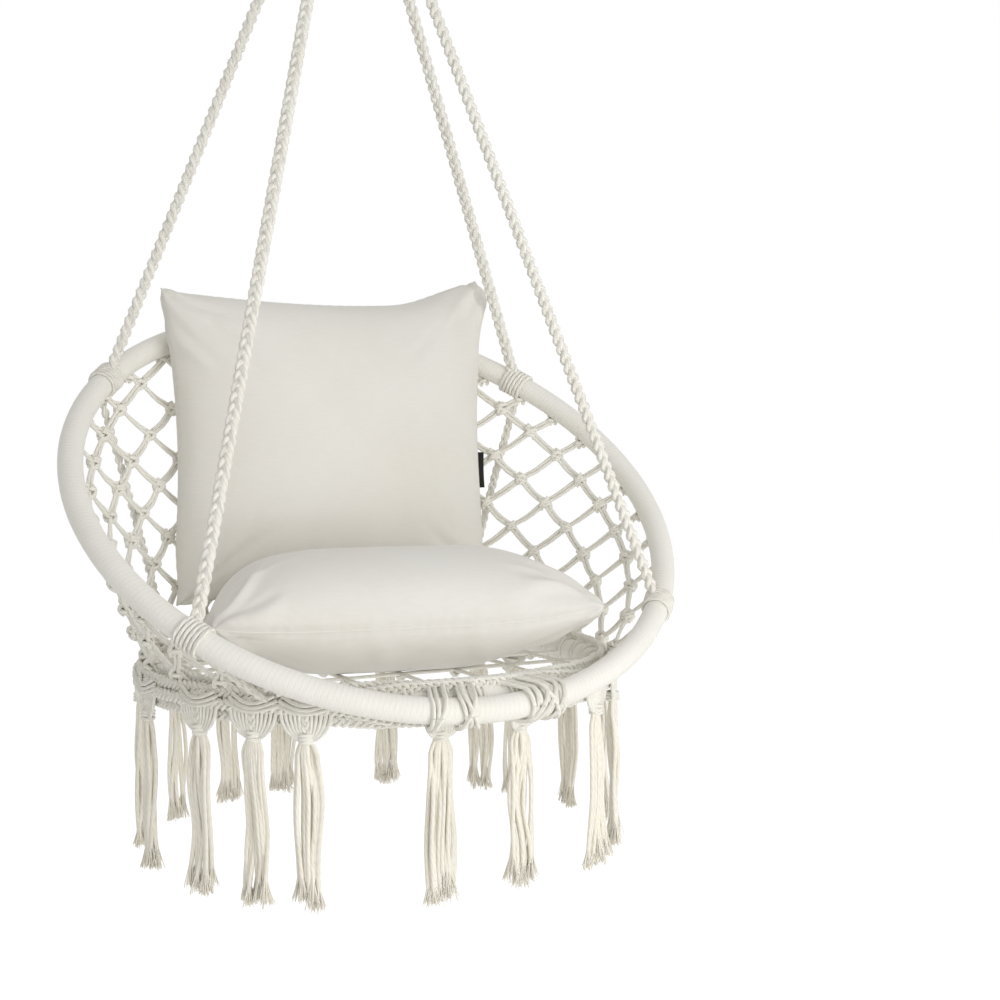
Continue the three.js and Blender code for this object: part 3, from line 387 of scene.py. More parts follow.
def cotton_cord(name, pale, deep, plies=3.0, pitch=0.013, bump=0.0006, shade=0.55):
    """Twisted cotton: pale on the plies, with painted shade deeper in the grooves between them."""
    looks = {"Sheen Weight": 0.25, "Sheen Roughness": 0.5, "Specular IOR Level": 0.25}
    made, w, shader = blank_material(name, looks)
    twist = w.node("ShaderNodeGroup", node_tree=ply_group)
    twist.inputs["Plies"].default_value = plies
    twist.inputs["Pitch"].default_value = pitch
    height, groove, fibre = twist.outputs
    cloud = w.noise(w.in_object(), 11.0, 3.0)
    # painted shade: the groove mask darkens the colour where shade falls between the plies; the cloud adds a
    # random tone
    share = w.plus(w.times(groove, shade), w.times(w.minus(cloud, 0.45), 0.6))
    colour_by(w, shader, share, linear(*pale), linear(*deep))
    w.feed(shader["Roughness"], w.plus(0.82, w.times(fibre, 0.12)))
    emboss(w, shader, height, 0.8, bump)
    return made


def canvas(name, pale, deep, thread=0.0009):
    """Plain woven cotton canvas, a little cloudy."""
    made, w, shader = blank_material(name, {"Sheen Weight": 0.2, "Specular IOR Level": 0.2})
    weave = w.node("ShaderNodeGroup", node_tree=weave_group)
    weave.inputs["Thread"].default_value = thread
    height, slubs, cloudy = weave.outputs
    share = w.minus(w.plus(cloudy, w.times(w.minus(slubs, 0.5), 0.5)), 0.15)
    colour_by(w, shader, share, linear(*pale), linear(*deep))
    w.feed(shader["Roughness"], w.plus(0.84, w.times(slubs, 0.1)))
    emboss(w, shader, height, 0.5, 0.0003)
    return made


def brushed_metal(name, colour, roughness):
    """Steel with fine wear: small changes of gloss and a faint haze."""
    made, w, shader = blank_material(name, {"Metallic": 1.0})
    where = w.in_object()
    haze = w.noise(where, 90.0, 5.0)
    w.feed(shader["Roughness"], w.plus(roughness, w.times(haze, 0.18)))
    emboss(w, shader, w.noise(w.vector("MULTIPLY", where, (1.0, 1.0, 14.0)), 160.0), 0.15, 0.0002)
    pale = linear(*colour)
    colour_by(w, shader, haze, pale, tuple(0.75 * v for v in pale[:3]) + (1.0,))
    return made


# shade= sets how strong the painted shade in the grooves of each cord is
binding_cotton = cotton_cord("binding_cotton", (242, 240, 233), (224, 220, 206), plies=2.0, pitch=0.006,
                             bump=0.00015, shade=0.25)
rope_cotton = cotton_cord("rope_cotton", (244, 242, 235), (212, 205, 188), shade=0.5)
net_cotton = cotton_cord("net_cotton", (246, 244, 236), (216, 209, 191), bump=0.0004, shade=0.4)
fringe_cotton = cotton_cord("fringe_cotton", (247, 243, 231), (220, 211, 190), pitch=0.012, bump=0.0003,
                            shade=0.3)
fray_cotton = cotton_cord("fray_cotton", (250, 246, 235), (241, 233, 215), plies=1.0, pitch=0.05, bump=0.0002)
seat_canvas = canvas("seat_canvas", (239, 237, 232), (228, 224, 215))
back_canvas = canvas("back_canvas", (236, 234, 228), (226, 222, 212))
zip_tape = canvas("zip_tape", (226, 222, 208), (206, 200, 184), thread=0.0006)
tag_satin = canvas("tag_satin", (28, 27, 26), (44, 42, 40), thread=0.0005)
ring_steel = brushed_metal("ring_steel", (205, 206, 208), 0.18)
tube_steel = brushed_metal("tube_steel", (150, 152, 155), 0.4)
print("materials:", len(bpy.data.materials))

# %% [markdown]
# Nearly all of this chair is cord that follows a line. One Geometry Nodes tree lays cords along lines: it
# copies each line as often as there are strands, swings every copy round the line as a twist or a plait
# does, gives it a round section, and writes the map that the cotton material reads. A twist swings in a
# circle; a plait swings once sideways while it goes twice in depth, which is a figure of eight.


# %% Helpers for Geometry Nodes trees
def tree_with(name, inputs):
    """An empty Geometry Nodes tree with a geometry in and out, and named inputs."""
    tree = bpy.data.node_groups.new(name, "GeometryNodeTree")
    tree.is_modifier = True
    tree.interface.new_socket("Geometry", in_out="INPUT", socket_type="NodeSocketGeometry")
    add_inputs(tree, inputs)
    tree.interface.new_socket("Geometry", in_out="OUTPUT", socket_type="NodeSocketGeometry")
    w = Wires(tree)
    return tree, w, w.node("NodeGroupInput").outputs, w.node("NodeGroupOutput").inputs


def read(w, name, kind="FLOAT"):
    """The field of a named attribute."""
    return w.node("GeometryNodeInputNamedAttribute", {"Name": name}, data_type=kind).outputs["Attribute"]


def store(w, geometry, name, value, kind="FLOAT", domain="POINT"):
    """Stores a field as a named attribute."""
    made = w.node("GeometryNodeStoreNamedAttribute", {"Geometry": geometry, "Name": name},
                  data_type=kind, domain=domain)
    w.feed(made.inputs["Value"], value)
    return made.outputs[0]


def spline(w, what):
    """How far along its line a point is: its Length in metres or its Factor from 0 to 1."""
    return w.node("GeometryNodeSplineParameter").outputs[what]


def even_curve(w, given, mode, key, value):
    """The carrier's lines as curves with even points that keep how far along they are."""
    curve = w.node("GeometryNodeMeshToCurve", {0: given["Geometry"]}).outputs[0]
    even = w.node("GeometryNodeResampleCurve", {"Curve": curve, key: value}, mode=mode).outputs[0]
    return store(w, even, "run", spline(w, "Length"))


def strands_of(w, curve, given):
    """A curve copied as often as there are strands, and each copy's number."""
    made = w.node("GeometryNodeDuplicateElements", {"Geometry": curve, "Amount": given["Strands"]},
                  domain="SPLINE")
    return made.outputs[0], made.outputs["Duplicate Index"]


def moved(w, geometry, offset):
    return w.node("GeometryNodeSetPosition", {"Geometry": geometry, "Offset": offset}).outputs[0]


def sweep(w, curve, sides, radius, more=()):
    """A tube of round section along a curve. It keeps how far round each point is."""
    ring = w.node("GeometryNodeCurvePrimitiveCircle", {"Resolution": sides, "Radius": radius}).outputs[0]
    feeds = {"Curve": curve, "Profile Curve": store(w, ring, "round", spline(w, "Factor")), **dict(more)}
    return w.node("GeometryNodeCurveToMesh", feeds).outputs[0]


def finish_tree(w, geometry, material, out):
    """Ends a tree: smooth faces, real geometry, material."""
    smooth = w.node("GeometryNodeSetShadeSmooth", {"Geometry": geometry}).outputs[0]
    real = w.node("GeometryNodeRealizeInstances", {"Geometry": smooth}).outputs[0]
    w.feed(out[0], w.node("GeometryNodeSetMaterial", {"Geometry": real, "Material": material}).outputs[0])


def finish_cords(w, tube, material, out):
    """Writes the cord map, round the cord without a jump at its seam and along it in metres."""
    def on_face(value):
        return w.node("GeometryNodeFieldOnDomain", {0: value}, data_type="FLOAT", domain="FACE").outputs[0]

    around = read(w, "round")
    mean = on_face(around)
    spread = w.minus(on_face(w.times(around, around)), w.times(mean, mean))
    at_seam = w.times(w.math("GREATER_THAN", spread, 0.06), w.math("LESS_THAN", around, 0.5))
    flat = w.node("ShaderNodeCombineXYZ", {0: w.plus(around, at_seam), 1: read(w, "run")}).outputs[0]
    finish_tree(w, store(w, tube, "cord", flat, kind="FLOAT2", domain="CORNER"), material, out)


def evaluated_mesh(piece):
    """The mesh that a piece's modifiers make."""
    graph = bpy.context.evaluated_depsgraph_get()
    seen = piece.evaluated_get(graph)
    return bpy.data.meshes.new_from_object(seen, preserve_all_data_layers=True, depsgraph=graph)


def bake(piece):
    """Puts the piece's modifiers into its mesh."""
    mesh, old = evaluated_mesh(piece), piece.data
    piece.modifiers.clear()
    piece.data = mesh
    bpy.data.meshes.remove(old)
    mesh.name = piece.name


def grow(name, tree, carrier, values):
    """Runs a tree on a carrier mesh and returns a plain mesh object of that name."""
    grown = add_object(name, carrier)
    modifier = grown.modifiers.new("grow", "NODES")
    modifier.node_group = tree
    keys = {i.name: i.identifier for i in tree.interface.items_tree if i.in_out == "INPUT"}
    for label, value in values.items():
        modifier[keys[label]] = value
    bake(grown)
    return grown


def write_field(mesh, name, values):
    """Stores a number or a vector for every point of a mesh."""
    values = np.array(values, float)
    kind, key = ("FLOAT_VECTOR", "vector") if values.ndim == 2 else ("FLOAT", "value")
    mesh.attributes.new(name, kind, "POINT").data.foreach_set(key, values.ravel())


def lines_mesh(name, lines):
    """A carrier mesh of open or closed lines. Each is a dict: points in metres, side, phase, thick."""
    verts, edges, side, phase, thick = [], [], [], [], []
    for line in lines:
        first = len(verts)
        points = line["points"]
        count = len(points)
        verts += [tuple(p) for p in points]
        edges += [(first + i, first + i + 1) for i in range(count - 1)]
        if line.get("closed"):
            edges.append((first + count - 1, first))
        sides = line["side"]
        one_side = not isinstance(sides[0], (tuple, Vector))
        side += [tuple(sides)] * count if one_side else [tuple(s) for s in sides]
        phase += [line.get("phase", 0.0)] * count
        widths = line.get("thick", 1.0)
        thick += [widths] * count if isinstance(widths, float) else widths
    mesh = bpy.data.meshes.new(name)
    mesh.from_pydata(verts, edges, [])
    for label, values in (("side", side), ("phase", phase), ("thick", thick)):
        write_field(mesh, label, values)
    return mesh


# %% The tree that lays cords
def make_laying_tree():
    tree, w, given, out = tree_with("laid_cords", {
        "Strands": 3, "Strand Diameter": 0.006, "Swing Sideways": 0.004, "Swing in Depth": 0.004,
        "Turn Length": 0.03, "Depth Beats": 1.0, "Sides": 8, "Step": 0.004, "Material": None,
    })
    even = even_curve(w, given, "LENGTH", "Length", given["Step"])
    copies, index = strands_of(w, even, given)
    beat = w.plus(w.over(read(w, "run"), given["Turn Length"]), w.over(index, given["Strands"]))
    angle = w.times(w.plus(beat, read(w, "phase")), TURN)
    tangent = w.node("GeometryNodeInputTangent").outputs[0]
    side = read(w, "side", "FLOAT_VECTOR")
    along = w.scaled(tangent, w.vector("DOT_PRODUCT", side, tangent))
    side = w.vector("NORMALIZE", w.vector("SUBTRACT", side, along))
    depth = w.vector("CROSS_PRODUCT", tangent, side)
    sideways = w.times(w.math("COSINE", angle), given["Swing Sideways"])
    inwards = w.times(w.math("SINE", w.times(angle, given["Depth Beats"])), given["Swing in Depth"])
    laid = moved(w, copies, w.vector("ADD", w.scaled(side, sideways), w.scaled(depth, inwards)))
    tube = sweep(w, laid, given["Sides"], w.times(given["Strand Diameter"], 0.5),
                 {"Scale": read(w, "thick"), "Fill Caps": True})
    finish_cords(w, tube, given["Material"], out)
    return tree


laying_tree = make_laying_tree()


def lay(name, lines, material, strands=1, diameter=5.0, swing=0.0, depth=None, turn=30.0, beats=1,
        sides=8, step=4.0):
    """Lays cords along lines. Sizes are in millimetres."""
    return grow(name, laying_tree, lines_mesh(name + "_lines", lines), {
        "Strands": strands, "Strand Diameter": diameter * MM, "Swing Sideways": swing * MM,
        "Swing in Depth": (swing if depth is None else depth) * MM, "Turn Length": turn * MM,
        "Depth Beats": float(beats), "Sides": sides, "Step": step * MM, "Material": material,
    })


print("tree:", laying_tree.name, "with", len(laying_tree.nodes), "nodes")

# %% [markdown]
# Both hoops are steel tube under a close winding of cord. The winding is one tree again: it sweeps a round
# section along the hoop and then presses a groove between every two turns. A real winder's turns climb
# a little as they go round, so the groove does too.

# %% The two hoops
LOWER_RADIUS = 284.6
UPPER_RADIUS = 384.6
UPPER_TILT = math.radians(37.4)
CONTACT = math.radians(-14)
HOOPS_APART = 31.4
WINDING_RADIUS = 15.4
CORD_PITCH = 3.3
WINDING_GROOVE, WINDING_UNEVEN = 0.4, 0.5
UPPER_SIDES, LOWER_SIDES = 18, 16
HOOP_POINTS = 360


class Hoop:
    """A round hoop that leans back about the seat's sideways axis."""

    def __init__(self, radius, tilt, centre):
        self.radius, self.tilt, self.centre = radius, tilt, Vector(centre)
        self.up = Vector((0, -math.sin(tilt), math.cos(tilt)))

    def lean(self, x, y):
        """A direction in the hoop's own plane."""
        return Vector((x, y * math.cos(self.tilt), y * math.sin(self.tilt)))

    def out(self, angle):
        return self.lean(math.cos(angle), math.sin(angle))

    def along(self, angle):
        return self.lean(-math.sin(angle), math.cos(angle))

    def point(self, angle, away=0.0, section=0.0):
        """A point at a distance from the tube's middle line, at an angle round its section."""
        reach = self.radius + away * math.cos(section)
        return self.centre + self.out(angle) * reach + self.up * (away * math.sin(section))


lower_hoop = Hoop(LOWER_RADIUS, 0, (0, 0, 0))
upper_hoop = Hoop(UPPER_RADIUS, UPPER_TILT, (
    0,
    -LOWER_RADIUS - HOOPS_APART * math.cos(CONTACT) + UPPER_RADIUS * math.cos(UPPER_TILT),
    HOOPS_APART * math.sin(CONTACT) + UPPER_RADIUS * math.sin(UPPER_TILT),
))


def make_winding_tree():
    tree, w, given, out = tree_with("wound_hoop", {
        "Winding Radius": 0.0154, "Cord Pitch": 0.0033, "Groove": 0.0007, "Rows in a Turn": 4.0,
        "Sides": 18, "Unevenness": 0.0004, "Material": None,
    })
    even = even_curve(w, given, "LENGTH", "Length", w.over(given["Cord Pitch"], given["Rows in a Turn"]))
    tube = sweep(w, even, given["Sides"], given["Winding Radius"])
    turns = w.plus(w.over(read(w, "run"), given["Cord Pitch"]), read(w, "round"))
    rib = w.math("ABSOLUTE", w.math("SINE", w.times(turns, math.pi)))
    groove = w.times(w.minus(rib, 1.0), given["Groove"])
    noise = w.noise(w.node("GeometryNodeInputPosition").outputs[0], 55.0, 1.0)
    lumps = w.times(w.minus(noise, 0.55), given["Unevenness"])
    normal = w.node("GeometryNodeInputNormal").outputs[0]
    finish_cords(w, moved(w, tube, w.scaled(normal, w.plus(groove, lumps))), given["Material"], out)
    return tree


winding_tree = make_winding_tree()


def wind_hoop(name, hoop, sides, *nodes):
    """The winding of a whole hoop."""
    ring = [place(*hoop.point(TURN * i / HOOP_POINTS)) for i in range(HOOP_POINTS)]
    carrier = lines_mesh(name + "_line", [{"points": ring, "closed": True, "side": (0, 0, 1)}])
    wound = grow(name, winding_tree, carrier, {
        "Winding Radius": WINDING_RADIUS * MM, "Cord Pitch": CORD_PITCH * MM, "Groove": WINDING_GROOVE * MM,
        "Rows in a Turn": 4.0, "Sides": sides, "Unevenness": WINDING_UNEVEN * MM, "Material": binding_cotton,
    })
    dress(wound, "seat", "binding_cord", *nodes)
    return faces_of(wound)


QUARTERS = ["upper_hoop_binding_" + side for side in ("right", "back", "left", "front")]
print("winding faces:", wind_hoop("upper_winding", upper_hoop, UPPER_SIDES, *QUARTERS),
      wind_hoop("lower_winding", lower_hoop, LOWER_SIDES, "lower_hoop_binding"))
for name in ("upper_hoop_tube", "upper_hoop_ferrule", "lower_hoop_tube", "lower_hoop_ferrule"):
    bpy.data.objects[name].material_slots[0].material = tube_steel
bpy.data.objects["hanging_ring"].material_slots[0].material = ring_steel

# %% [markdown]
# Four plaits carry the chair. Each is three strands, pulled straight, from a lashing on the upper hoop to
# the head, where they bend down into the whipping.

# %% Plaited ropes
CORNERS = {"front_right": -38.5, "back_right": 38.4, "back_left": 141.6, "front_left": 218.5}
MEET = Vector((0, 73, 1153))
HEAD_DROP = 36.4
NECK_SPREAD = (7.0, 8.6)
HEAD_TOP = -0.106
HEAD_SOFT = 0.008
ROPE_FOOT = WINDING_RADIUS + 2
PLAIT = {"strands": 3, "diameter": 7.9, "swing": 4.3, "depth": 3.2, "turn": 40, "beats": 2, "sides": 10,
         "step": 3}


def rope_line(corner):
    """One rope's line from its lashing to the head, in metres."""
    angle = math.radians(CORNERS[corner])
    middle = upper_hoop.point(angle)
    toward = (MEET - middle).normalized()
    start = place(*(middle + toward * ROPE_FOOT))
    end = place(*(MEET - toward * (HEAD_DROP / toward.z)))
    neck = [math.copysign(half, value) * MM for half, value in zip(NECK_SPREAD, middle)]
    neck = Vector((*neck, HEAD_TOP))
    soft = Vector((neck.x, neck.y, end.z + HEAD_SOFT))
    points = [start.lerp(end, t) for t in shares(40)]
    points += [end * (1 - t) ** 2 + soft * (2 * t * (1 - t)) + neck * t ** 2 for t in shares(8)[1:]]
    side = seat_turn @ upper_hoop.along(angle).cross(toward).cross(toward)
    return {"points": points, "side": side, "phase": random.Random(corner).random()}


rope_faces = {}
for corner in CORNERS:
    rope = lay("plait_" + corner, [rope_line(corner)], rope_cotton, **PLAIT)
    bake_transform(rope)
    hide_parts("rope_" + corner)
    rope_faces[corner] = faces_of(rope)
print("plaits:", rope_faces)

# %% [markdown]
# The net hangs between the two hoops on twenty-two pairs of lines that lean left and right and meet in
# staggered rows of knots. Each mesh is a diamond of two parallel cords a side. The cords stop where they
# reach a hoop, so every line is cut off there, and a knot is only tied where there is room for it.

# %% The net between the hoops
NET_LINES = 22
NET_ROWS = 14
KNOT_ROW = 34.4
LOWEST_KNOT = 24.6
NET_CORD = 4.9
NET_PAIR = 2.5
NET_SAG, NET_BOW, NET_TWIST = (1.0, 3.6), 1.8, 0.04
KNOT_ROOM = 7.5
CORD_BITE = 2.0  # how far a cord's end runs into the winding
CLIP_STEPS = 30
PANELS = ("front_right", "right_front", "right_rear", "back_right", "back_middle", "back_left",
          "left_rear", "left_front", "front_left")


def net_top(angle):
    return upper_hoop.point(angle).z


def net_point(angle, height, outwards=0.0):
    low, high = lower_hoop.point(angle), upper_hoop.point(angle)
    return low.lerp(high, height / high.z) + spoke(angle) * outwards


def knot_place(m, n):
    return math.pi / 2 + m * math.pi / NET_LINES, LOWEST_KNOT + KNOT_ROW * n


def knot_numbers(lowest):
    """The places of the staggered knots: every second one of each row, from a lowest row up."""
    return [(m, n) for m in range(2 * NET_LINES) for n in range(lowest, NET_ROWS) if (m + n) % 2]


def hoop_gap(hoop, point):
    """From a point to the winding of a hoop; below zero inside it."""
    reach = point - hoop.centre
    high = reach.dot(hoop.up)
    return math.hypot((reach - hoop.up * high).length - hoop.radius, high) - WINDING_RADIUS


def free_gap(angle, height):
    """The smaller gap to both hoops, below zero outside the net."""
    if height <= 0 or height >= net_top(angle):
        return -1.0
    point = net_point(angle, height)
    return min(hoop_gap(upper_hoop, point), hoop_gap(lower_hoop, point))


def net_cord(m, n, rise, ends):
    """One cord of the net from a knot to the next, clipped at the hoops. Keeps its ends at the upper one."""
    (a0, h0), (a1, h1) = knot_place(m, n), knot_place(m + 1, n + rise)

    def at(share):
        return a0 + (a1 - a0) * share, h0 + (h1 - h0) * share

    inside = [share for share in shares(CLIP_STEPS) if free_gap(*at(share)) > -CORD_BITE / 2]
    if len(inside) < 3:
        return None
    first, last = inside[0], inside[-1]
    slack = random.Random(m * 7 + n * 3 + rise)
    sag, bow = slack.uniform(*NET_SAG), slack.uniform(-NET_BOW, NET_BOW)
    points = []
    for t in shares(6):
        share = first + (last - first) * t
        hang = math.sin(math.pi * share) ** 2
        angle, height = at(share)
        points.append(place(*net_point(angle, height - sag * hang, bow * hang)))
    for share in (first, last):
        angle, height = at(share)
        if 0 < share < 1 and height > net_top(angle) / 2:
            ends.append(angle)
    twist = random.Random(m * 100 + n * 2 + rise).uniform(-NET_TWIST, NET_TWIST)
    side = (points[-1] - points[0]).normalized().cross(spoke((a0 + a1) / 2)).normalized()
    return {"points": points, "side": side, "phase": twist}


upper_ends = []
net_lines = [net_cord(m, n, rise, upper_ends) for m, n in knot_numbers(-2) for rise in (-1, 1)]
net_lines = [line for line in net_lines if line]
net_cords = lay("net_cords", net_lines, net_cotton, strands=2, diameter=NET_CORD, swing=NET_PAIR,
                turn=420, sides=7, step=7)
dress(net_cords, "seat", "net_cord", *["net_" + panel for panel in PANELS])
print("net cords:", len(net_lines), "faces", faces_of(net_cords), "ends on the upper hoop", len(upper_ends))

# %% [markdown]
# A knot is itself laid from cord once, as a small model, and then tied many times: a second tree stands a
# copy on each point, turned to face out of the net. Two models of the knot take turns at random.


# %% The tree that ties knots
def chance(w, low, high, seed, identity=None):
    """A random number between two values."""
    made = w.node("FunctionNodeRandomValue", {
        "Min_001": low, "Max_001": high, "ID": identity, "Seed": seed,
    }, data_type="FLOAT")
    return find_socket(made.outputs, "Value_001")


def make_tying_tree():
    tree, w, given, out = tree_with("tied_knots", {
        "First Knot": None, "Second Knot": None, "Smallest": 0.9, "Largest": 1.1, "Lean": 0.2, "Seed": 7,
        "Material": None,
    })
    face = w.node("FunctionNodeAxesToRotation", {
        0: read(w, "out", "FLOAT_VECTOR"), 1: read(w, "side", "FLOAT_VECTOR"),
    }, primary_axis="Z", secondary_axis="X").outputs[0]
    lean = chance(w, w.times(given["Lean"], -1.0), given["Lean"], given["Seed"])
    tilt = w.node("FunctionNodeAxisAngleToRotation", {"Axis": (0, 0, 1), "Angle": lean}).outputs[0]
    turned = w.node("FunctionNodeRotateRotation", {0: face, 1: tilt}, rotation_space="LOCAL").outputs[0]
    size = chance(w, given["Smallest"], given["Largest"], w.plus(given["Seed"], 1.0))
    pick = w.node("FunctionNodeRandomValue", {"Seed": w.plus(given["Seed"], 2.0)}, data_type="BOOLEAN")
    chosen = find_socket(pick.outputs, "Value_003")
    other = w.node("FunctionNodeBooleanMath", {0: chosen}, operation="NOT").outputs[0]
    both = w.node("GeometryNodeJoinGeometry")
    for knot, where in (("First Knot", chosen), ("Second Knot", other)):
        tied = w.node("GeometryNodeInstanceOnPoints", {
            "Points": given["Geometry"], "Selection": where,
            "Instance": w.node("GeometryNodeObjectInfo", {"Object": given[knot]}).outputs["Geometry"],
            "Rotation": turned, "Scale": w.times(size, read(w, "thick")),
        }).outputs[0]
        tree.links.new(tied, both.inputs[0])
    finish_tree(w, both.outputs[0], given["Material"], out)
    return tree


tying_tree = make_tying_tree()


def knot_model(name, paths):
    """A small model of a knot, from paths in millimetres round its own middle."""
    lines = [{"points": [Vector(p) * MM for p in path], "side": (0, 0, 1)} for path in paths]
    return lay(name, lines, net_cotton, diameter=4.6, sides=6)


def tie(name, models, places, smallest, largest, lean=0.2, seed=7):
    """Ties knots at places: each a point in metres, an outward and a sideways direction, and a size."""
    stands = [{"points": [point], "side": side, "thick": size} for point, out, side, size in places]
    carrier = lines_mesh(name + "_places", stands)
    write_field(carrier, "out", [tuple(out) for point, out, side, size in places])
    made = grow(name, tying_tree, carrier, {
        "First Knot": models[0], "Second Knot": models[-1], "Smallest": smallest, "Largest": largest,
        "Lean": lean, "Seed": seed, "Material": net_cotton,
    })
    dress(made, "seat", "net_cord")
    return faces_of(made)


def band_path(y, half_width, half_depth, tilt):
    """A closed loop of cord round a bundle that runs along the knot's upright axis."""
    return [(half_width * math.cos(TURN * t), y + tilt * math.cos(TURN * t), half_depth * math.sin(TURN * t))
            for t in shares(12)]


def arc_path(start, end, bulge):
    """A cord from start to end that rises out of the net by bulge in its middle."""
    start, end = Vector(start), Vector(end)
    return [start.lerp(end, t) + Vector((0, 0, bulge * math.sin(math.pi * t))) for t in shares(6)]


knot_a = knot_model("knot_a", [
    band_path(3.0, 6.0, 4.8, 1.6), band_path(-2.6, 6.4, 4.8, -1.4),
    arc_path((-6.5, -6.5, 0), (5.5, 6.5, 1), 6.5), arc_path((6.5, -6.5, 0), (-6.5, 6.0, 0), -6.0),
])
knot_b = knot_model("knot_b", [
    band_path(0.4, 6.8, 5.2, 2.6), band_path(-4.4, 5.6, 4.6, -1.0),
    arc_path((-6.0, -6.0, 1), (2.0, 7.5, 1), 6.8), arc_path((6.0, -5.0, 0), (5.0, 6.5, 0), 4.0),
    arc_path((-7.0, 4.5, 0), (6.0, 4.5, 0), -5.6), arc_path((5.5, -6.0, 0), (-4.0, 6.5, 0), -6.0),
])
hitch = knot_model("hitch", [
    band_path(0, 4.0, 3.6, 0.6),
    arc_path((-3.5, -5, 1), (-2.5, 5.5, 0), 5.0), arc_path((3.5, -5, 1), (2.5, 5.5, 0), 5.0),
])

# %% Knots of the net
HITCH_ROOM, LOWEST_HITCH, HITCH_OUT = 2.5, 5, 1
KNOT_RISE, HITCH_RISE = 0.15, 0.1  # how far they face upwards


def knot_stand(angle, height, out, rise):
    """Where a knot of the net is tied: its place, the way that it faces, its sideways direction and size."""
    return place(*net_point(angle, height, out)), spoke(angle, rise).normalized(), rim(angle), 1.0


knot_places = []
for m, n in knot_numbers(0):
    angle, height = knot_place(m, n)
    if free_gap(angle, height) > KNOT_ROOM:
        knot_places.append(knot_stand(angle, height, 0, KNOT_RISE))
hitch_places = []
for angle in upper_ends:
    height = net_top(angle)
    while free_gap(angle, height) < HITCH_ROOM and height > LOWEST_HITCH:
        height -= 1.0
    hitch_places.append(knot_stand(angle, height, HITCH_OUT, HITCH_RISE))
print("knots:", len(knot_places), tie("net_knots", (knot_a, knot_b), knot_places, 1.12, 1.32, lean=0.35),
      "hitches:", len(hitch_places), tie("hoop_hitches", (hitch,), hitch_places, 1.2, 1.45, seed=11))

# %% [markdown]
# The seat is a flat square net inside the lower hoop. Its cords also run in pairs, and end round the hoop.

# %% The seat net
SEAT_PITCH = 75
SEAT_BITE = 1.5
SEAT_REACH = LOWER_RADIUS - WINDING_RADIUS + SEAT_BITE
SEAT_NET_LEVEL, SEAT_KNOT_LEVEL = -1.2, -3.7
SEAT_KNOT_ROOM = 14
DIAGONAL = Vector((0.707, 0.707, 0))

seat_lines, seat_knots = [], []
for k in range(-3, 4):
    off = k * SEAT_PITCH
    half = math.sqrt(SEAT_REACH ** 2 - off ** 2)
    for start, end, side in (((-half, off), (half, off), (0, 1, 0)), ((off, -half), (off, half), (1, 0, 0))):
        start, end = place(*start, SEAT_NET_LEVEL), place(*end, SEAT_NET_LEVEL)
        points = [start.lerp(end, t) for t in shares(12)]
        seat_lines.append({"points": points, "side": seat_turn @ Vector(side)})
    for x in (j * SEAT_PITCH for j in range(-3, 4)):
        if math.hypot(x, off) < SEAT_REACH - SEAT_KNOT_ROOM:
            seat_knots.append((place(x, off, SEAT_KNOT_LEVEL), Vector((0, 0, -1)), DIAGONAL, 0.9))
seat_cords = lay("seat_cords", seat_lines, net_cotton, strands=2, diameter=4.4, swing=2.4, depth=0.3,
                 turn=600, sides=7, step=10)
dress(seat_cords, "seat", "net_cord", "seat_net")
print("seat net:", len(seat_lines), faces_of(seat_cords), len(seat_knots),
      tie("seat_ties", (knot_a, knot_b), seat_knots, 0.8, 0.9, seed=5))

# %% [markdown]
# A lashing holds each rope to the upper hoop: turns of cord laid close together round the hoop, with the
# rope's foot coming out between them. From the lashing a plaited drop runs down outside the net.

# %% Lashings and drop plaits
LASHINGS = {"front_right": (6, 4.7), "back_right": (6, 5.6), "back_left": (6, 4.9), "front_left": (6, 5.1)}
LASHING_STEPS = 16  # points in a turn
LASHING_START = -1.9
LASHING_PITCH, LASHING_SINK = 1.02, 0.42  # shares of the cord
DROP_TOP, DROP_LENGTH, DROP_OUT = 0.93, 0.86, 15.0  # shares of the net's height, and millimetres outside it
DROP_TURNS = {"front_right": -6, "back_right": 6, "back_left": -6, "front_left": 6}

for corner, (turns, cord) in LASHINGS.items():
    angle = math.radians(CORNERS[corner])
    points = []
    for i in range(turns * LASHING_STEPS + 1):
        turn = i / LASHING_STEPS
        shift = (turn - turns / 2) * cord * LASHING_PITCH / UPPER_RADIUS
        section = LASHING_START + TURN * turn
        points.append(place(*upper_hoop.point(angle + shift, WINDING_RADIUS + cord * LASHING_SINK, section)))
    line = {"points": points, "side": seat_turn @ upper_hoop.along(angle)}
    lashing = lay("lashing_cord_" + corner, [line], rope_cotton, diameter=cord, step=4.5)
    dress(lashing, "seat", "rope_cord", "lashing_" + corner)

drop_lines = []
for corner, bearing in CORNERS.items():
    points, sides = [], []
    for t in shares(40):
        share = DROP_TOP - DROP_LENGTH * t
        angle = math.radians(bearing) + math.radians(DROP_TURNS[corner]) * (1 - share)
        points.append(place(*net_point(angle, net_top(angle) * share, DROP_OUT)))
        sides.append(seat_turn @ rim(angle))
    drop_lines.append({"points": points, "side": sides, "phase": 0.13 * len(drop_lines)})
drops = lay("drop_plaits", drop_lines, rope_cotton, strands=3, diameter=5.4, swing=3.4, depth=2.0, turn=38,
            beats=2, step=3.5)
dress(drops, "seat", "rope_cord", *["drop_braid_" + corner for corner in CORNERS])
print("drop plaits:", faces_of(drops))

# %% [markdown]
# At the top, two plaits fold over the ring's wire and their four legs go down into a whipping, a close
# winding of thin cord. That makes the eye. Inside, the ropes' cores end in a stopper knot.

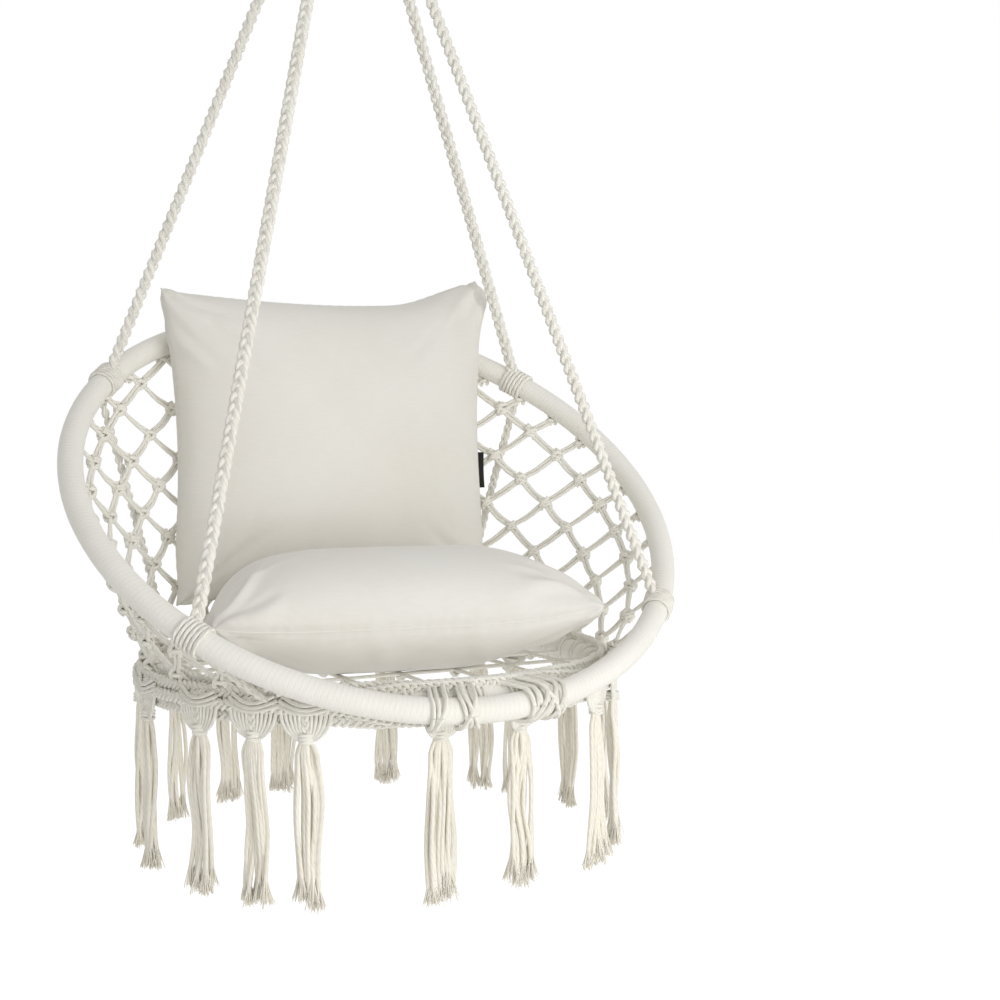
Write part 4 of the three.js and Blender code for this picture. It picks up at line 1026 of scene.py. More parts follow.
# %% Ring eye, whipping and stopper knot
WIRE_DROP = 65.0
EYE_ARCH = 11.6
EYE_APART = 6.4
NECK_BOTTOM = -123.0
EYE_LEG = ((NECK_SPREAD[1], NECK_BOTTOM), (NECK_SPREAD[1], -100), (9.6, -90), (11.2, -78))
WHIPPING_BOTTOM = -120.0
WHIPPING_TURNS = 8
WHIPPING_RADIUS = 19.3
WHIP_CORD, WHIP_SWELL = 4.0, 0.3
WHIPPING_STEPS = 20  # points in a turn
STOPPER_HEIGHT, STOPPER_RADIUS, STOPPER_TIP = NECK_BOTTOM + 7, 3.3, 0.9

eye_lines = []
for x in (-EYE_APART, EYE_APART):
    front, rear = ([(x, end * y, z) for y, z in EYE_LEG] for end in (-1, 1))
    arch = [(x, -EYE_ARCH * math.cos(math.pi * t), -WIRE_DROP + EYE_ARCH * math.sin(math.pi * t))
            for t in shares(12)]
    points = [Vector(p) * MM for p in front + arch + rear[::-1]]
    eye_lines.append({"points": points, "side": (1, 0, 0), "phase": 0.2 if x > 0 else 0.45})
eye = lay("eye_plaits", eye_lines, rope_cotton, strands=3, diameter=6.4, swing=3.4, depth=2.2, turn=40,
          beats=2, sides=9, step=3)
dress(eye, "eye", "rope_cord", "rope_eye")

whip = []
for i in range(WHIPPING_TURNS * WHIPPING_STEPS + 1):
    z = WHIPPING_BOTTOM + WHIP_CORD / 2 + WHIP_CORD * i / WHIPPING_STEPS
    whip.append((spoke(TURN * i / WHIPPING_STEPS) * WHIPPING_RADIUS + Vector((0, 0, z))) * MM)
whipping = lay("whipping_cord", [{"points": whip, "side": (0, 0, 1)}], binding_cotton,
               diameter=WHIP_CORD + WHIP_SWELL, step=5)
dress(whipping, "eye", "binding_cord", "eye_whipping")

stopper_rings = []
for lean in (0, math.pi / 3, math.pi * 2 / 3):
    tip = Matrix.Rotation(lean, 3, "Z") @ Matrix.Rotation(STOPPER_TIP, 3, "X") * STOPPER_RADIUS
    ring = [(tip @ spoke(TURN * t) + Vector((0, 0, STOPPER_HEIGHT))) * MM for t in shares(16)]
    stopper_rings.append({"points": ring, "side": (0, 0, 1)})
stopper = lay("stopper_knot", stopper_rings, rope_cotton, diameter=3.2, sides=7, step=2.5)
dress(stopper, "seat", "rope_cord", "head_knot")
print("eye, whipping and knot:", faces_of(eye), faces_of(whipping), faces_of(stopper))

# %% [markdown]
# Round the seat's hoop runs a band of knotted cord: a loop at the foot of every pair of net cords, a plait
# along the outside, and a rosette over each tassel. A rosette is two fans of parallel strands that part
# at the top, swell round a middle plait and gather again in a tight collar.

# %% The band round the seat's hoop
FRONT = -90
BAND_ROWS = (  # degrees round the hoop's section at the front and elsewhere, and the gap to the winding
    (-110, -50, 4.2), (-68, -8, 4.2), (74, 34, 2.6), (116, 76, 2.6),
)
BAND_GAP = WINDING_RADIUS + 1.4
TUCK_FROM, TUCK_TO = 14, 32
FOOT_GAP, FOOT_APART, FOOT_SLANT, FOOT_WOBBLE = WINDING_RADIUS + 1.5, 2.6, 1.4, 0.004


def band_point(bearing, at_front, elsewhere, away):
    """The rows of the band lie round the hoop's outside, and give way where the hoops meet."""
    off = abs((bearing - FRONT + 180) % 360 - 180)
    section = at_front + (elsewhere - at_front) * smooth_step(off, TUCK_FROM, TUCK_TO)
    return place(*lower_hoop.point(math.radians(bearing), BAND_GAP + away, math.radians(section)))


band_rings = []
for number, row in enumerate(BAND_ROWS):
    ring = [band_point(bearing, *row) for bearing in range(0, 360, 2)]
    side = seat_turn @ Vector((0, 0, 1))
    band_rings.append({"points": ring, "closed": True, "side": side, "phase": 0.3 * number})
band_plait = lay("band_plait", band_rings, net_cotton, strands=3, diameter=5.0, swing=5.2, depth=2.2, turn=27,
                 beats=2, sides=7)
dress(band_plait, "seat", "macrame_cord", "macrame_band")

foot_loops = []
for m in range(2 * NET_LINES):
    angle = math.pi / 2 + m * math.pi / NET_LINES
    rng = random.Random(300 + m)
    for k in (-1, 1):
        wobble = rng.uniform(-FOOT_WOBBLE, FOOT_WOBBLE)
        loop = []
        for section in (TURN * t for t in shares(16)):
            slant = k * (FOOT_APART + FOOT_SLANT * math.sin(section)) / LOWER_RADIUS + wobble
            loop.append(place(*lower_hoop.point(angle + slant, FOOT_GAP, section)))
        foot_loops.append({"points": loop, "side": seat_turn @ lower_hoop.along(angle)})
loops = lay("foot_loops", foot_loops, net_cotton, diameter=4.4, sides=6, step=6)
dress(loops, "seat", "macrame_cord")
print("band:", faces_of(band_plait), "foot loops:", faces_of(loops))

# %% Rosettes
TASSEL_BEARINGS = (-178, -155, -140, -128, -98, -76, -53, -35, -13, 6, 27, 38, 65, 95, 112, 133, 157)
TIE_BEARINGS = (-98, -76)
TIE_WIDTH = 0.8
ROSETTE_TOP = 8
ROSETTE_STRANDS = 5
ROSETTE_GAP = WINDING_RADIUS + 2.5
ROSETTE_SEED = 40
COLLAR = ((7.5, 8.2), (3.4, 7.4), (-0.6, 7.0))  # height over the tassel's top, half width
SWAGS = ((11, 27, 9), (6, 31, 9), (1, 34, 8))  # height over the hoop's middle, half width, sag


def cubic(points, t):
    u = 1 - t
    weights = (u ** 3, 3 * u * u * t, 3 * u * t * t, t ** 3)
    return (sum(weight * value for weight, value in zip(weights, row)) for row in zip(*points))


def rosette_lines(bearing, bottom, rng, flat):
    """The strands of one rosette. Across is along the hoop, and bottom is where the tassel starts."""
    angle = math.radians(bearing)
    outward, across = spoke(angle), rim(angle)
    hoop_face = lower_hoop.point(angle)
    depth_low = (bottom - hoop_face).dot(outward)
    low = bottom.z - hoop_face.z
    lines = []

    def strand(count, spot, free=True):
        """Lays one strand through spots that are given as across, height and lift off the hoop."""
        points = []
        for x, z, lift in map(spot, shares(count)):
            share = min(max((ROSETTE_TOP - z) / (ROSETTE_TOP - low), 0), 1)
            depth = ROSETTE_GAP * (1 - share) + depth_low * share
            points.append(place(*(hoop_face + across * x + outward * (depth + lift) + Vector((0, 0, z)))))
        lines.append({"points": points, "side": seat_turn @ across, "phase": rng.random() if free else 0.0})

    def fan(s, k, j):
        path = (
            (s * (2 + 5.2 * k) * flat, ROSETTE_TOP - k * 0.9),
            (s * (9 + 6.4 * k + j) * flat, ROSETTE_TOP + 1 - 2.2 * k + j),
            (s * (9 + 5.0 * k - j) * flat, low + 14 - 1.6 * k),
            (s * (1.5 + 1.2 * k), low + 1),
        )
        return lambda t: (*cubic(path, t), (4.0 - 0.6 * k) * math.sin(math.pi * t) ** 0.7)

    def middle(k):
        def spot(t):
            beat = TURN * (t * 1.8 + k / 3)
            lift = 3.6 * math.sin(math.pi * t) ** 0.6 + 1.8 * math.sin(2 * beat)
            return 3.6 * math.cos(beat), ROSETTE_TOP + 2 + (low - ROSETTE_TOP - 2) * t, lift
        return spot

    for s in (-1, 1):
        for k in range(ROSETTE_STRANDS):
            strand(12, fan(s, k, rng.uniform(-0.8, 0.8)))
    for k in range(3):
        strand(18, middle(k))
    for rise, half in COLLAR:
        tilt = rng.uniform(-1.2, 1.2)
        strand(14, lambda t: (half * math.cos(TURN * t), low + rise + tilt * math.cos(TURN * t),
                              7.0 * math.sin(TURN * t)), free=False)
    for z, half, sag in SWAGS:
        strand(10, lambda t: (half * (2 * t - 1) * flat, z - sag * math.sin(math.pi * t),
                              6 * math.sin(math.pi * t) + 2), free=False)
    return lines


tassel_tops, rosette_strands = [], []
for i, bearing in enumerate(TASSEL_BEARINGS):
    low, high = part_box(f"tassel_{i + 1:02d}")
    tassel_tops.append(Vector(((low[0] + high[0]) / 2, (low[1] + high[1]) / 2, high[2])))
    width = TIE_WIDTH if bearing in TIE_BEARINGS else 1.0
    rng = random.Random(ROSETTE_SEED + i)
    rosette_strands += rosette_lines(bearing, point_in_seat(tassel_tops[i]), rng, width)
rosettes = lay("rosettes", rosette_strands, net_cotton, diameter=4.6, sides=7, step=4.5)
dress(rosettes, "seat", "macrame_cord")
print("rosettes:", len(rosette_strands), "strands", faces_of(rosettes))

# %% [markdown]
# At the front the two hoops touch, and two ties hold them together. Each tie is loops of cord that go round
# both hoops like a belt. The left tie has two groups of loops with bare winding between them; the right
# one is a full row of loops under crossing strands.

# %% Front ties
LEFT_TIE, RIGHT_TIE = -97, -79.5  # bearings
BELTS = (  # bearing, gap to the winding, then the shift and the slant of each loop
    (LEFT_TIE, 2.4, ((-24, 1), (-18.5, 2), (14, -4), (20, -3), (26, -2))),
    (LEFT_TIE, 4.8, ((-15, 8), (18, 9), (23, -9))),
    (RIGHT_TIE, 2.4, [(-24 + 5.6 * k, 2.5 if k % 2 else -2.5) for k in range(9)]),
    (RIGHT_TIE, 6.2, ((-13, 13), (6, -13), (-3, 16), (14, 10))),
)


def belt(bearing, away, shift, slant):
    """One loop of cord round both hoops, shifted along them and slanting."""
    angle = math.radians(bearing)
    radius = WINDING_RADIUS + away
    middle_low, middle_high = lower_hoop.point(angle), upper_hoop.point(angle)
    outward, across = spoke(angle), rim(angle)
    reach = middle_high - middle_low
    base = math.atan2(reach.z, reach.dot(outward))
    points = []
    for turn in (TURN * t for t in shares(26)):
        centre = middle_high if math.cos(turn) >= 0 else middle_low
        ring = outward * math.cos(base + turn) * radius + Vector((0, 0, math.sin(base + turn) * radius))
        points.append(place(*(centre + ring + across * (shift + slant * math.sin(turn)))))
    return {"points": points, "side": seat_turn @ across}


tie_lines = [belt(bearing, away, *loop) for bearing, away, row in BELTS for loop in row]
ties = lay("front_ties", tie_lines, net_cotton, diameter=5.2, sides=7, step=5)
dress(ties, "seat", "macrame_cord")
print("ties:", len(tie_lines), faces_of(ties))

# %% [markdown]
# A tassel is ten plied cords that hang from the collar in loose bunches, and each cord ends in a brush
# of fibres. The cords are laid by the same tree as the plaits. A third tree frays the ends: it copies
# the last stretch of each cord many times as a thin strand and lets the copies spread and end unevenly.


# %% The tree that frays cord ends
def make_fraying_tree():
    tree, w, given, out = tree_with("frayed_ends", {
        "Strands": 14, "Strand Diameter": 0.0011, "Root": 0.0016, "Spread": 0.006, "Raggedness": 0.007,
        "Seed": 3, "Material": None,
    })
    even = even_curve(w, given, "COUNT", "Count", 6)
    copies, index = strands_of(w, store(w, even, "share", spline(w, "Factor")), given)
    identity = w.plus(index, w.times(read(w, "phase"), 9000.0))

    def draw(offset, low, high):
        return chance(w, low, high, w.plus(given["Seed"], float(offset)), identity)

    tangent = w.node("GeometryNodeInputTangent").outputs[0]
    side = w.vector("NORMALIZE", w.vector("CROSS_PRODUCT", tangent, (0.31, 0.95, 0.1)))
    depth = w.vector("CROSS_PRODUCT", tangent, side)
    angle = draw(0, 0.0, TURN)
    share = read(w, "share")
    opening = w.math("POWER", share, 1.4)
    reach = w.math("POWER", draw(1, 0.02, 1.0), 0.5)
    spread = w.times(reach, w.plus(given["Root"], w.times(opening, given["Spread"])))
    sway = w.times(w.math("SINE", w.plus(w.times(share, 5.0), angle)), 0.0007)
    across = w.scaled(side, w.times(w.math("COSINE", angle), spread))
    inwards = w.scaled(depth, w.plus(w.times(w.math("SINE", angle), spread), sway))
    short = w.times(w.times(draw(2, -1.0, 0.0), given["Raggedness"]), share)
    shift = w.vector("ADD", w.vector("ADD", across, inwards), w.scaled(tangent, short))
    tube = sweep(w, moved(w, copies, shift), 4, w.times(given["Strand Diameter"], 0.5),
                 {"Scale": w.minus(1.0, w.times(share, 0.3)), "Fill Caps": True})
    finish_cords(w, tube, given["Material"], out)
    return tree


fraying_tree = make_fraying_tree()

# %% Tassels
TASSEL_LENGTH = 192
TASSEL_CORD = 5.5
TASSEL_GROUPS = ((2, 5, 3), (3, 5, 2), (1, 6, 3), (3, 4, 3), (2, 6, 2))
BUNCHES = ((-14, -9), (-3, 3), (9, 14))  # where the left, middle and right bunch hang
SHOULDER_HALF, SHOULDER_DEPTH, CORD_APART = 13.5, 5.0, 4.0
SHOULDER_RISE, COLLAR_END = 5, (-8, 15)  # the cords come out of the collar between these heights
BODY_SHARES, FOOT_SHARES = (0.05, 0.4), (0.5, 1.0)
WAVES, SWAY = (0.6, 1.4), (1.0, 3.2)  # along a cord, and millimetres sideways
UNEVEN_ENDS = 13
TASSEL_POINTS = 24
TASSEL_SEED, BRUSH_SEED = 900, 60
FRAY_LENGTH = 31
BRUSH = {"Strands": 20, "Strand Diameter": 0.0014, "Root": 0.0018, "Spread": 0.0068, "Raggedness": 0.005,
         "Material": fray_cotton}


def tassel_lines(top, bearing, seed):
    """The cords of one tassel and their frayed last stretches, in metres round its top."""
    rng = random.Random(seed)
    across, outward = rim(math.radians(bearing)), spoke(math.radians(bearing))
    groups = rng.choice(TASSEL_GROUPS)
    cords, brushes = [], []
    for g, members in enumerate(groups):
        middle = [rng.uniform(*span) for span in BUNCHES][g]
        swing = [(rng.uniform(*WAVES), rng.random(), rng.uniform(*SWAY)) for _ in range(2)]
        opening = rng.uniform(1.0, 1.5)
        for c in range(members):
            place_across = -1 + 2 * (len(cords) + 0.5) / sum(groups)
            row = (c - (members - 1) / 2) * CORD_APART
            shoulder = Vector((place_across * SHOULDER_HALF,
                               SHOULDER_DEPTH * math.cos(place_across * 1.4) * rng.choice((-1, 1))))
            body = Vector((middle * 1.1 + row * 0.9, rng.uniform(-6, 6)))
            foot = Vector((middle + row * opening + rng.uniform(-2, 2), rng.uniform(-8, 8)))
            waves = [(f, p + rng.uniform(-0.04, 0.04), a * rng.uniform(0.8, 1.2)) for f, p, a in swing]
            length = TASSEL_LENGTH - rng.uniform(0, UNEVEN_ENDS)
            points = []
            for share in shares(TASSEL_POINTS):
                drop = share * length
                free = smooth_step(drop, *COLLAR_END)
                spot = shoulder.lerp(body, smooth_step(share, *BODY_SHARES))
                spot = spot.lerp(foot, smooth_step(share, *FOOT_SHARES))
                ripple = math.sin(math.pi * share) ** 0.6
                sway = [a * ripple * math.sin(TURN * (share * f + p)) for f, p, a in waves]
                at = across * (spot.x * free + sway[0]) + outward * (spot.y * 0.8 * free + sway[1])
                points.append(top + (at + Vector((0, 0, SHOULDER_RISE * (1 - free) - drop))) * MM)
            cut = sum(share * length <= length - FRAY_LENGTH for share in shares(TASSEL_POINTS))
            ends = {"side": across, "phase": rng.random()}
            cords.append({"points": points[:cut + 2], "thick": [1.0] * (cut + 1) + [0.75], **ends})
            brushes.append({"points": points[cut:], **ends})
    return cords, brushes


tassel_faces = 0
for i, bearing in enumerate(TASSEL_BEARINGS):
    name = f"tassel_{i + 1:02d}"
    cords, brushes = tassel_lines(tassel_tops[i], bearing, TASSEL_SEED + i)
    strands = lay(name + "_cords", cords, fringe_cotton, diameter=TASSEL_CORD, sides=7, step=7)
    brush = {**BRUSH, "Seed": BRUSH_SEED + i}
    fibres = grow(name + "_brush", fraying_tree, lines_mesh(name + "_ends", brushes), brush)
    dress(strands, name, "tassel_cord", name)
    dress(fibres, name, "tassel_cord")
    tassel_faces += faces_of(strands) + faces_of(fibres)
print("tassels:", len(TASSEL_BEARINGS), "faces:", tassel_faces)

# %% [markdown]
# Both cushions are plain canvas squares stuffed full. Each starts as the flat-cornered pillow of the packed
# model, a little thin, on a fine grid that is closed along the seam, and is blown up as cloth with its
# corners pinned, so that the cloth finds its own crown. A voxel remesh would eat the thin pointed corners,
# so the grid itself is kept. Seams, folds and corner pinches are pressed in afterwards.

# %% Cushion shapes
CUSHION_WIDTH, CUSHION_DEPTH, CUSHION_THICK = 490, 450, 166
CUSHION_GRID = 76
SIDE_DRAW, SIDE_POWER = 0.085, 3
CROWN_POWER, CROWN_EDGE = 4, 0.6
SEAT_CENTRE, SEAT_TURN = (12, 30), math.radians(-10.5)
SEAT_BACK_SHARE, SEAT_THIN = 0.4, (-0.35, 0.8)
SEAT_CORNER_LIFT, SEAT_CORNER_POWER = 0.1, 3
SEAT_REST, SEAT_SAG, SEAT_TIP = 2.3, 0.24, 26
BACK_OFFSET, BACK_MIDDLE, BACK_STAND = 18, 197.6, 66.4
BACK_LEAN, BACK_HEIGHT = math.radians(2), 434
EAR_RISE, EAR_WIDTH, EAR_FOLD = 27, 160, 10
FOOT_HEIGHT, FOOT_DEPTH, FOOT_DRAW = 90, 12, 0.03
HOOP_REACH, NET_HALF, HOOP_HALF, NET_MARGIN = 60, 4.5, 15.4, 3
NET_ABOVE = 1.4  # how far up the net's lines still hold a cushion, in shares of the hoop's height
SEAT_EASE, BACK_EASE = 0.93, 0.97


def held_at(r, reach, ease):
    """How far out a place ends up where the net lets it reach only so far."""
    easy = reach * ease
    if r <= easy:
        return r
    return easy + (reach - easy) * (1 - math.exp(-(r - easy) / (reach - easy)))


def seat_profile(v):
    return 1 + (SEAT_BACK_SHARE - 1) * smooth_step(v, *SEAT_THIN)


def seat_level(x, y):
    v = min(max(y / (CUSHION_DEPTH / 2), -1), 1)
    corner = abs(4 * x * y / (CUSHION_WIDTH * CUSHION_DEPTH)) ** SEAT_CORNER_POWER
    lift = SEAT_TIP if x > 0 and y < 0 else CUSHION_THICK * SEAT_CORNER_LIFT
    return SEAT_REST + CUSHION_THICK / 2 * seat_profile(v) * (1 - SEAT_SAG) + corner * lift


def pressed(point, ease):
    """The net and the upper hoop hold a cushion from behind and from both sides."""
    bearing = math.atan2(point.y, point.x)
    angle = bearing
    for _ in range(3):
        net = net_point(angle, min(point.z, net_top(angle) * NET_ABOVE))
        angle += bearing - math.atan2(net.y, net.x)
    top = net_top(angle)
    net = net_point(angle, min(point.z, top * NET_ABOVE))
    deep = NET_HALF + (HOOP_HALF - NET_HALF) * smooth_step(point.z, top - HOOP_REACH, top)
    r = math.hypot(point.x, point.y)
    held = held_at(r, math.hypot(net.x, net.y) - deep - NET_MARGIN, ease) / max(r, 1e-6)
    return Vector((point.x * held, point.y * held, point.z))


def seat_place(x, y, z):
    """The filling has sunk, so the seam lies under the middle of the thickness."""
    c, s = math.cos(SEAT_TURN), math.sin(SEAT_TURN)
    level = z * (1 + SEAT_SAG if z > 0 else 1 - SEAT_SAG) + seat_level(x, y)
    spot = Vector((SEAT_CENTRE[0] + x * c - y * s, SEAT_CENTRE[1] + x * s + y * c, level))
    return pressed(spot, SEAT_EASE)


def back_place(x, y, z):
    """The cushion stands upright. One top corner folds up to an ear, and the foot is drawn in."""
    half, tall = CUSHION_WIDTH / 2, BACK_HEIGHT / 2
    ear = smooth_step(-x, half - EAR_WIDTH, half) * smooth_step(-y, tall - EAR_WIDTH, tall)
    foot = smooth_step(y, tall - FOOT_HEIGHT, tall)
    slant = EAR_FOLD * math.exp(-((y + tall - 38) / 26) ** 2)
    slant -= 1.3 * EAR_FOLD * math.exp(-((y + tall) / 18) ** 2)
    return pressed(Vector((
        BACK_OFFSET - x * (1 - FOOT_DRAW * foot) + slant * smooth_step(-x, half - 60, half),
        BACK_MIDDLE - y * math.sin(BACK_LEAN) - z * math.cos(BACK_LEAN) - FOOT_DEPTH * foot,
        BACK_STAND + tall - y * math.cos(BACK_LEAN) + z * math.sin(BACK_LEAN) + EAR_RISE * ear,
    )), BACK_EASE)


def edge_spaced(share):
    """From -1 to 1, with half its steps even and half crowded to the edges, where the pillow curves most."""
    return 0.5 * (2 * share - 1) + 0.5 * math.sin((share - 0.5) * math.pi)


def pillow(name, width, depth, profile, where):
    """A closed pillow mesh in metres, whose points keep their places on the flat cut."""
    verts, flats, faces, index = [], [], [], {}
    last, thick = CUSHION_GRID - 1, CUSHION_THICK * START_SHARE
    for side in (1, -1):
        for j in range(CUSHION_GRID):
            for i in range(CUSHION_GRID):
                border = i in (0, last) or j in (0, last)
                if border and side < 0:
                    index[side, i, j] = index[1, i, j]
                    continue
                u, v = (edge_spaced(k / last) for k in (i, j))
                x = width / 2 * u * (1 - SIDE_DRAW * abs(u) ** SIDE_POWER * (1 - v * v))
                y = depth / 2 * v * (1 - SIDE_DRAW * abs(v) ** SIDE_POWER * (1 - u * u))
                crown = 0 if border else ((1 - u ** CROWN_POWER) * (1 - v ** CROWN_POWER)) ** CROWN_EDGE
                z = side * thick / 2 * crown * profile(v)
                index[side, i, j] = len(verts)
                verts.append(place(*where(x, y, z)))
                flats.append((x, y, z))
    for j in range(last):
        for i in range(last):
            quad = [(i, j), (i + 1, j), (i + 1, j + 1), (i, j + 1)]
            faces.append([index[1, a, b] for a, b in quad])
            faces.append([index[-1, a, b] for a, b in quad[::-1]])
    mesh = bpy.data.meshes.new(name)
    mesh.from_pydata(verts, [], faces)
    write_field(mesh, "flat", flats)
    return add_object(name, mesh)


def turn_faces_out(mesh):
    work = bmesh.new()
    work.from_mesh(mesh)
    bmesh.ops.recalc_face_normals(work, faces=work.faces)
    if work.calc_volume(signed=True) < 0:
        bmesh.ops.reverse_faces(work, faces=work.faces)
    work.to_mesh(mesh)
    work.free()


def read_vectors(items, key):
    values = np.empty(len(items) * 3, dtype=np.float32)
    items.foreach_get(key, values)
    return values.reshape(-1, 3).astype(float)


def write_points(mesh, values):
    mesh.vertices.foreach_set("co", values.ravel())
    mesh.update()


# %% Blow the cushions up as cloth
START_SHARE = 0.9  # of the full thickness, before the cloth swells
SEAT_START = (CUSHION_WIDTH - 6, CUSHION_DEPTH - 6)
BACK_START = (CUSHION_WIDTH - 4, BACK_HEIGHT - 4)
PIN_INSET, PIN_FROM, PIN_TO = 5, 0.008, 0.03
CLOTH_CAP = 0.024
CLOTH_STEPS = 20
CLOTH = {
    "quality": 6, "mass": 0.25, "tension_stiffness": 18, "compression_stiffness": 18, "shear_stiffness": 6,
    "bending_stiffness": 0.6, "use_pressure": True, "uniform_pressure_force": 4.0,
    "vertex_group_mass": "pinned", "pin_stiffness": 1.0,
}


def swell(piece, pins):
    """Blows a pillow up as cloth with pinned corners, and caps how far each point goes."""
    start = read_vectors(piece.data.vertices, "co")
    pinned = piece.vertex_groups.new(name="pinned")
    for number, point in enumerate(start):
        near = min((Vector(point) - pin).length for pin in pins)
        if near < PIN_TO:
            pinned.add([number], float(1 - smooth_step(near, PIN_FROM, PIN_TO)), "REPLACE")
    cloth = piece.modifiers.new("cloth", "CLOTH")
    for key, value in CLOTH.items():
        setattr(cloth.settings, key, value)
    cloth.settings.effector_weights.gravity = 0
    cloth.collision_settings.use_collision = False
    for step in range(1, CLOTH_STEPS + 1):
        scene.frame_set(step)
    bake(piece)
    scene.frame_set(1)
    move = read_vectors(piece.data.vertices, "co") - start
    far = np.linalg.norm(move, axis=1)
    scale = np.where(far > CLOTH_CAP, CLOTH_CAP / np.maximum(far, 1e-9), 1.0)
    write_points(piece.data, start + move * scale[:, None])
    print(piece.name, "moved at most", round(float(far.max()) * 1000, 1), "mm before the cap")


def make_cushion(name, size, profile, where):
    """A swollen cushion on a fine, smooth mesh."""
    width, depth = size
    piece = pillow(name, width, depth, profile, where)
    turn_faces_out(piece.data)
    pins = [place(*where(i * (width / 2 - PIN_INSET), j * (depth / 2 - PIN_INSET), 0))
            for i in (-1, 1) for j in (-1, 1)]
    swell(piece, pins)
    finer = piece.modifiers.new("finer", "SUBSURF")
    finer.levels = finer.render_levels = 1
    bake(piece)
    for polygon in piece.data.polygons:
        polygon.use_smooth = True
    return piece


seat_cushion = make_cushion("seat_cushion_canvas", SEAT_START, seat_profile, seat_place)
back_cushion = make_cushion("back_cushion_canvas", BACK_START, lambda v: 1, back_place)
print("cushion faces:", faces_of(seat_cushion), faces_of(back_cushion))

# %% [markdown]
# On the swollen canvas come the marks of sewing and of use. The cloth's map is the flat cut of each side, so
# that the weave stays square. The seam is a shallow groove round the edge with a fine ridge in it, and
# folds fan out of the corners, where the cloth is gathered, and die away towards the crown.

# %% Seams and folds
SEAM_HALF, SEAM_DEPTH, SEAM_EDGE = 3.4, 3.4, 0.84
PUCKER_REACH, PUCKER_HEIGHT, PUCKER_EDGE = 16, 0.35, 0.8
PINCH_HEIGHT, PINCH_GROWTH = 3.4, 26
NET_FACE = 1.4  # the seat cushion's lowest level, on the net's cords
RIDGE_CORD, RIDGE_FLAT, RIDGE_EDGE = 2.2, 0.01, 0.8
PRESS_GAP, PRESS_REACH = 0.0006, 0.05
SEAT_FOLDS = [  # from, to, side, height and width
    ((-234, -214), (-150, -200), 1, 5.5, 7), ((-234, -205), (-165, -140), 1, 6.0, 7),
    ((234, -214), (140, -180), 1, 6.0, 7), ((234, -208), (150, -120), 1, 5.5, 8),
    ((232, -214), (150, -160), -1, 5.0, 7), ((-232, -214), (-150, -150), -1, 5.0, 7),
    ((-225, -160), (-120, -120), 1, 2.2, 7), ((-215, -190), (-150, -90), 1, 1.8, 6),
    ((225, -190), (120, -150), 1, 2.2, 7), ((228, -150), (130, -90), 1, 1.6, 8),
    ((215, -205), (100, -190), 1, 1.8, 6), ((225, -200), (140, -120), -1, 2.0, 7),
    ((-60, -220), (-20, -150), -1, 1.4, 12), ((60, -222), (110, -150), -1, 1.4, 12),
]
BACK_FOLDS = [
    ((-222, -217), (-232, -168), 1, -4.0, 5),
    ((235, -205), (150, -150), 1, 4.0, 8), ((240, -180), (190, -90), 1, 3.6, 8),
    ((-235, -205), (-150, -160), 1, 2.4, 8), ((-238, -170), (-200, -80), 1, 1.8, 9),
    ((210, 190), (140, 90), 1, 1.4, 10), ((-200, 190), (-150, 110), 1, 1.4, 10),
]


def bell(value, width, power=2):
    return np.exp(-(value / width) ** power)


def dress_canvas(piece, width, depth, folds, seed, material):
    """Writes the cloth map, presses the seam and raises the folds of one cushion."""
    mesh = piece.data
    values, normals = (read_vectors(mesh.vertices, key) for key in ("co", "normal"))
    flats = read_vectors(mesh.attributes["flat"].data, "vector")
    x, y, z = flats.T
    rng = random.Random(seed)
    edge = np.maximum(np.abs(x) / (width / 2), np.abs(y) / (depth / 2))
    lift = -SEAM_DEPTH * bell(z, SEAM_HALF) * (edge > SEAM_EDGE)
    pucker = np.sin(x * 0.42 + 1.3 * np.sin(y * 0.05)) * np.sin(y * 0.38)
    lift += PUCKER_HEIGHT * pucker * bell(z, PUCKER_REACH) * (edge > PUCKER_EDGE)
    for i in (-1, 1):
        for j in (-1, 1):
            dx, dy = x * -i + width / 2, y * -j + depth / 2
            reach = np.hypot(dx, dy)
            rays = rng.uniform(8.5, 11.5)
            phase = rng.uniform(0, TURN)
            fade = bell(reach, rng.uniform(62, 84), 1.5) * np.clip(reach / PINCH_GROWTH, 0, 1)
            wave = np.sin(rays * np.arctan2(dy, dx) + phase + 0.012 * reach * np.sign(z))
            lift += PINCH_HEIGHT * fade * wave * np.abs(wave) ** 0.3
    for start, end, side, amount, wide in folds:
        run = np.array(end, float) - start
        length = np.hypot(*run)
        unit = run / length
        rel = flats[:, :2] - start
        t = rel @ unit
        off = rel @ np.array([-unit[1], unit[0]]) + 5 * np.sin(t / 21.0)
        fade = np.sin(math.pi * np.clip(t / length, 0, 1)) ** 0.8
        fade = fade * ((t > 0) & (t < length)) * (z * side > -6)
        lift += amount * fade * (bell(off, wide) - 0.55 * bell(off - wide * 1.3, wide))
    write_points(mesh, values + normals * lift[:, None] * MM)
    corners = np.empty(len(mesh.loops), dtype=np.int64)
    mesh.loops.foreach_get("vertex_index", corners)
    uv = (flats[corners][:, :2] * MM).astype(np.float32)
    mesh.uv_layers.new(name="cloth").data.foreach_set("uv", uv.ravel())
    mesh.materials.clear()
    mesh.materials.append(material)


def press_off(piece, other):
    """Presses the points of a piece that lie in another one out to its surface."""
    tree = BVHTree.FromObject(other, bpy.context.evaluated_depsgraph_get())
    values = read_vectors(piece.data.vertices, "co")
    moved_points = 0
    for number, point in enumerate(values):
        spot, normal, face, distance = tree.find_nearest(Vector(point), PRESS_REACH)
        if spot is not None and (Vector(point) - spot).dot(normal) < PRESS_GAP:
            values[number] = spot + normal * PRESS_GAP
            moved_points += 1
    write_points(piece.data, values)
    return moved_points


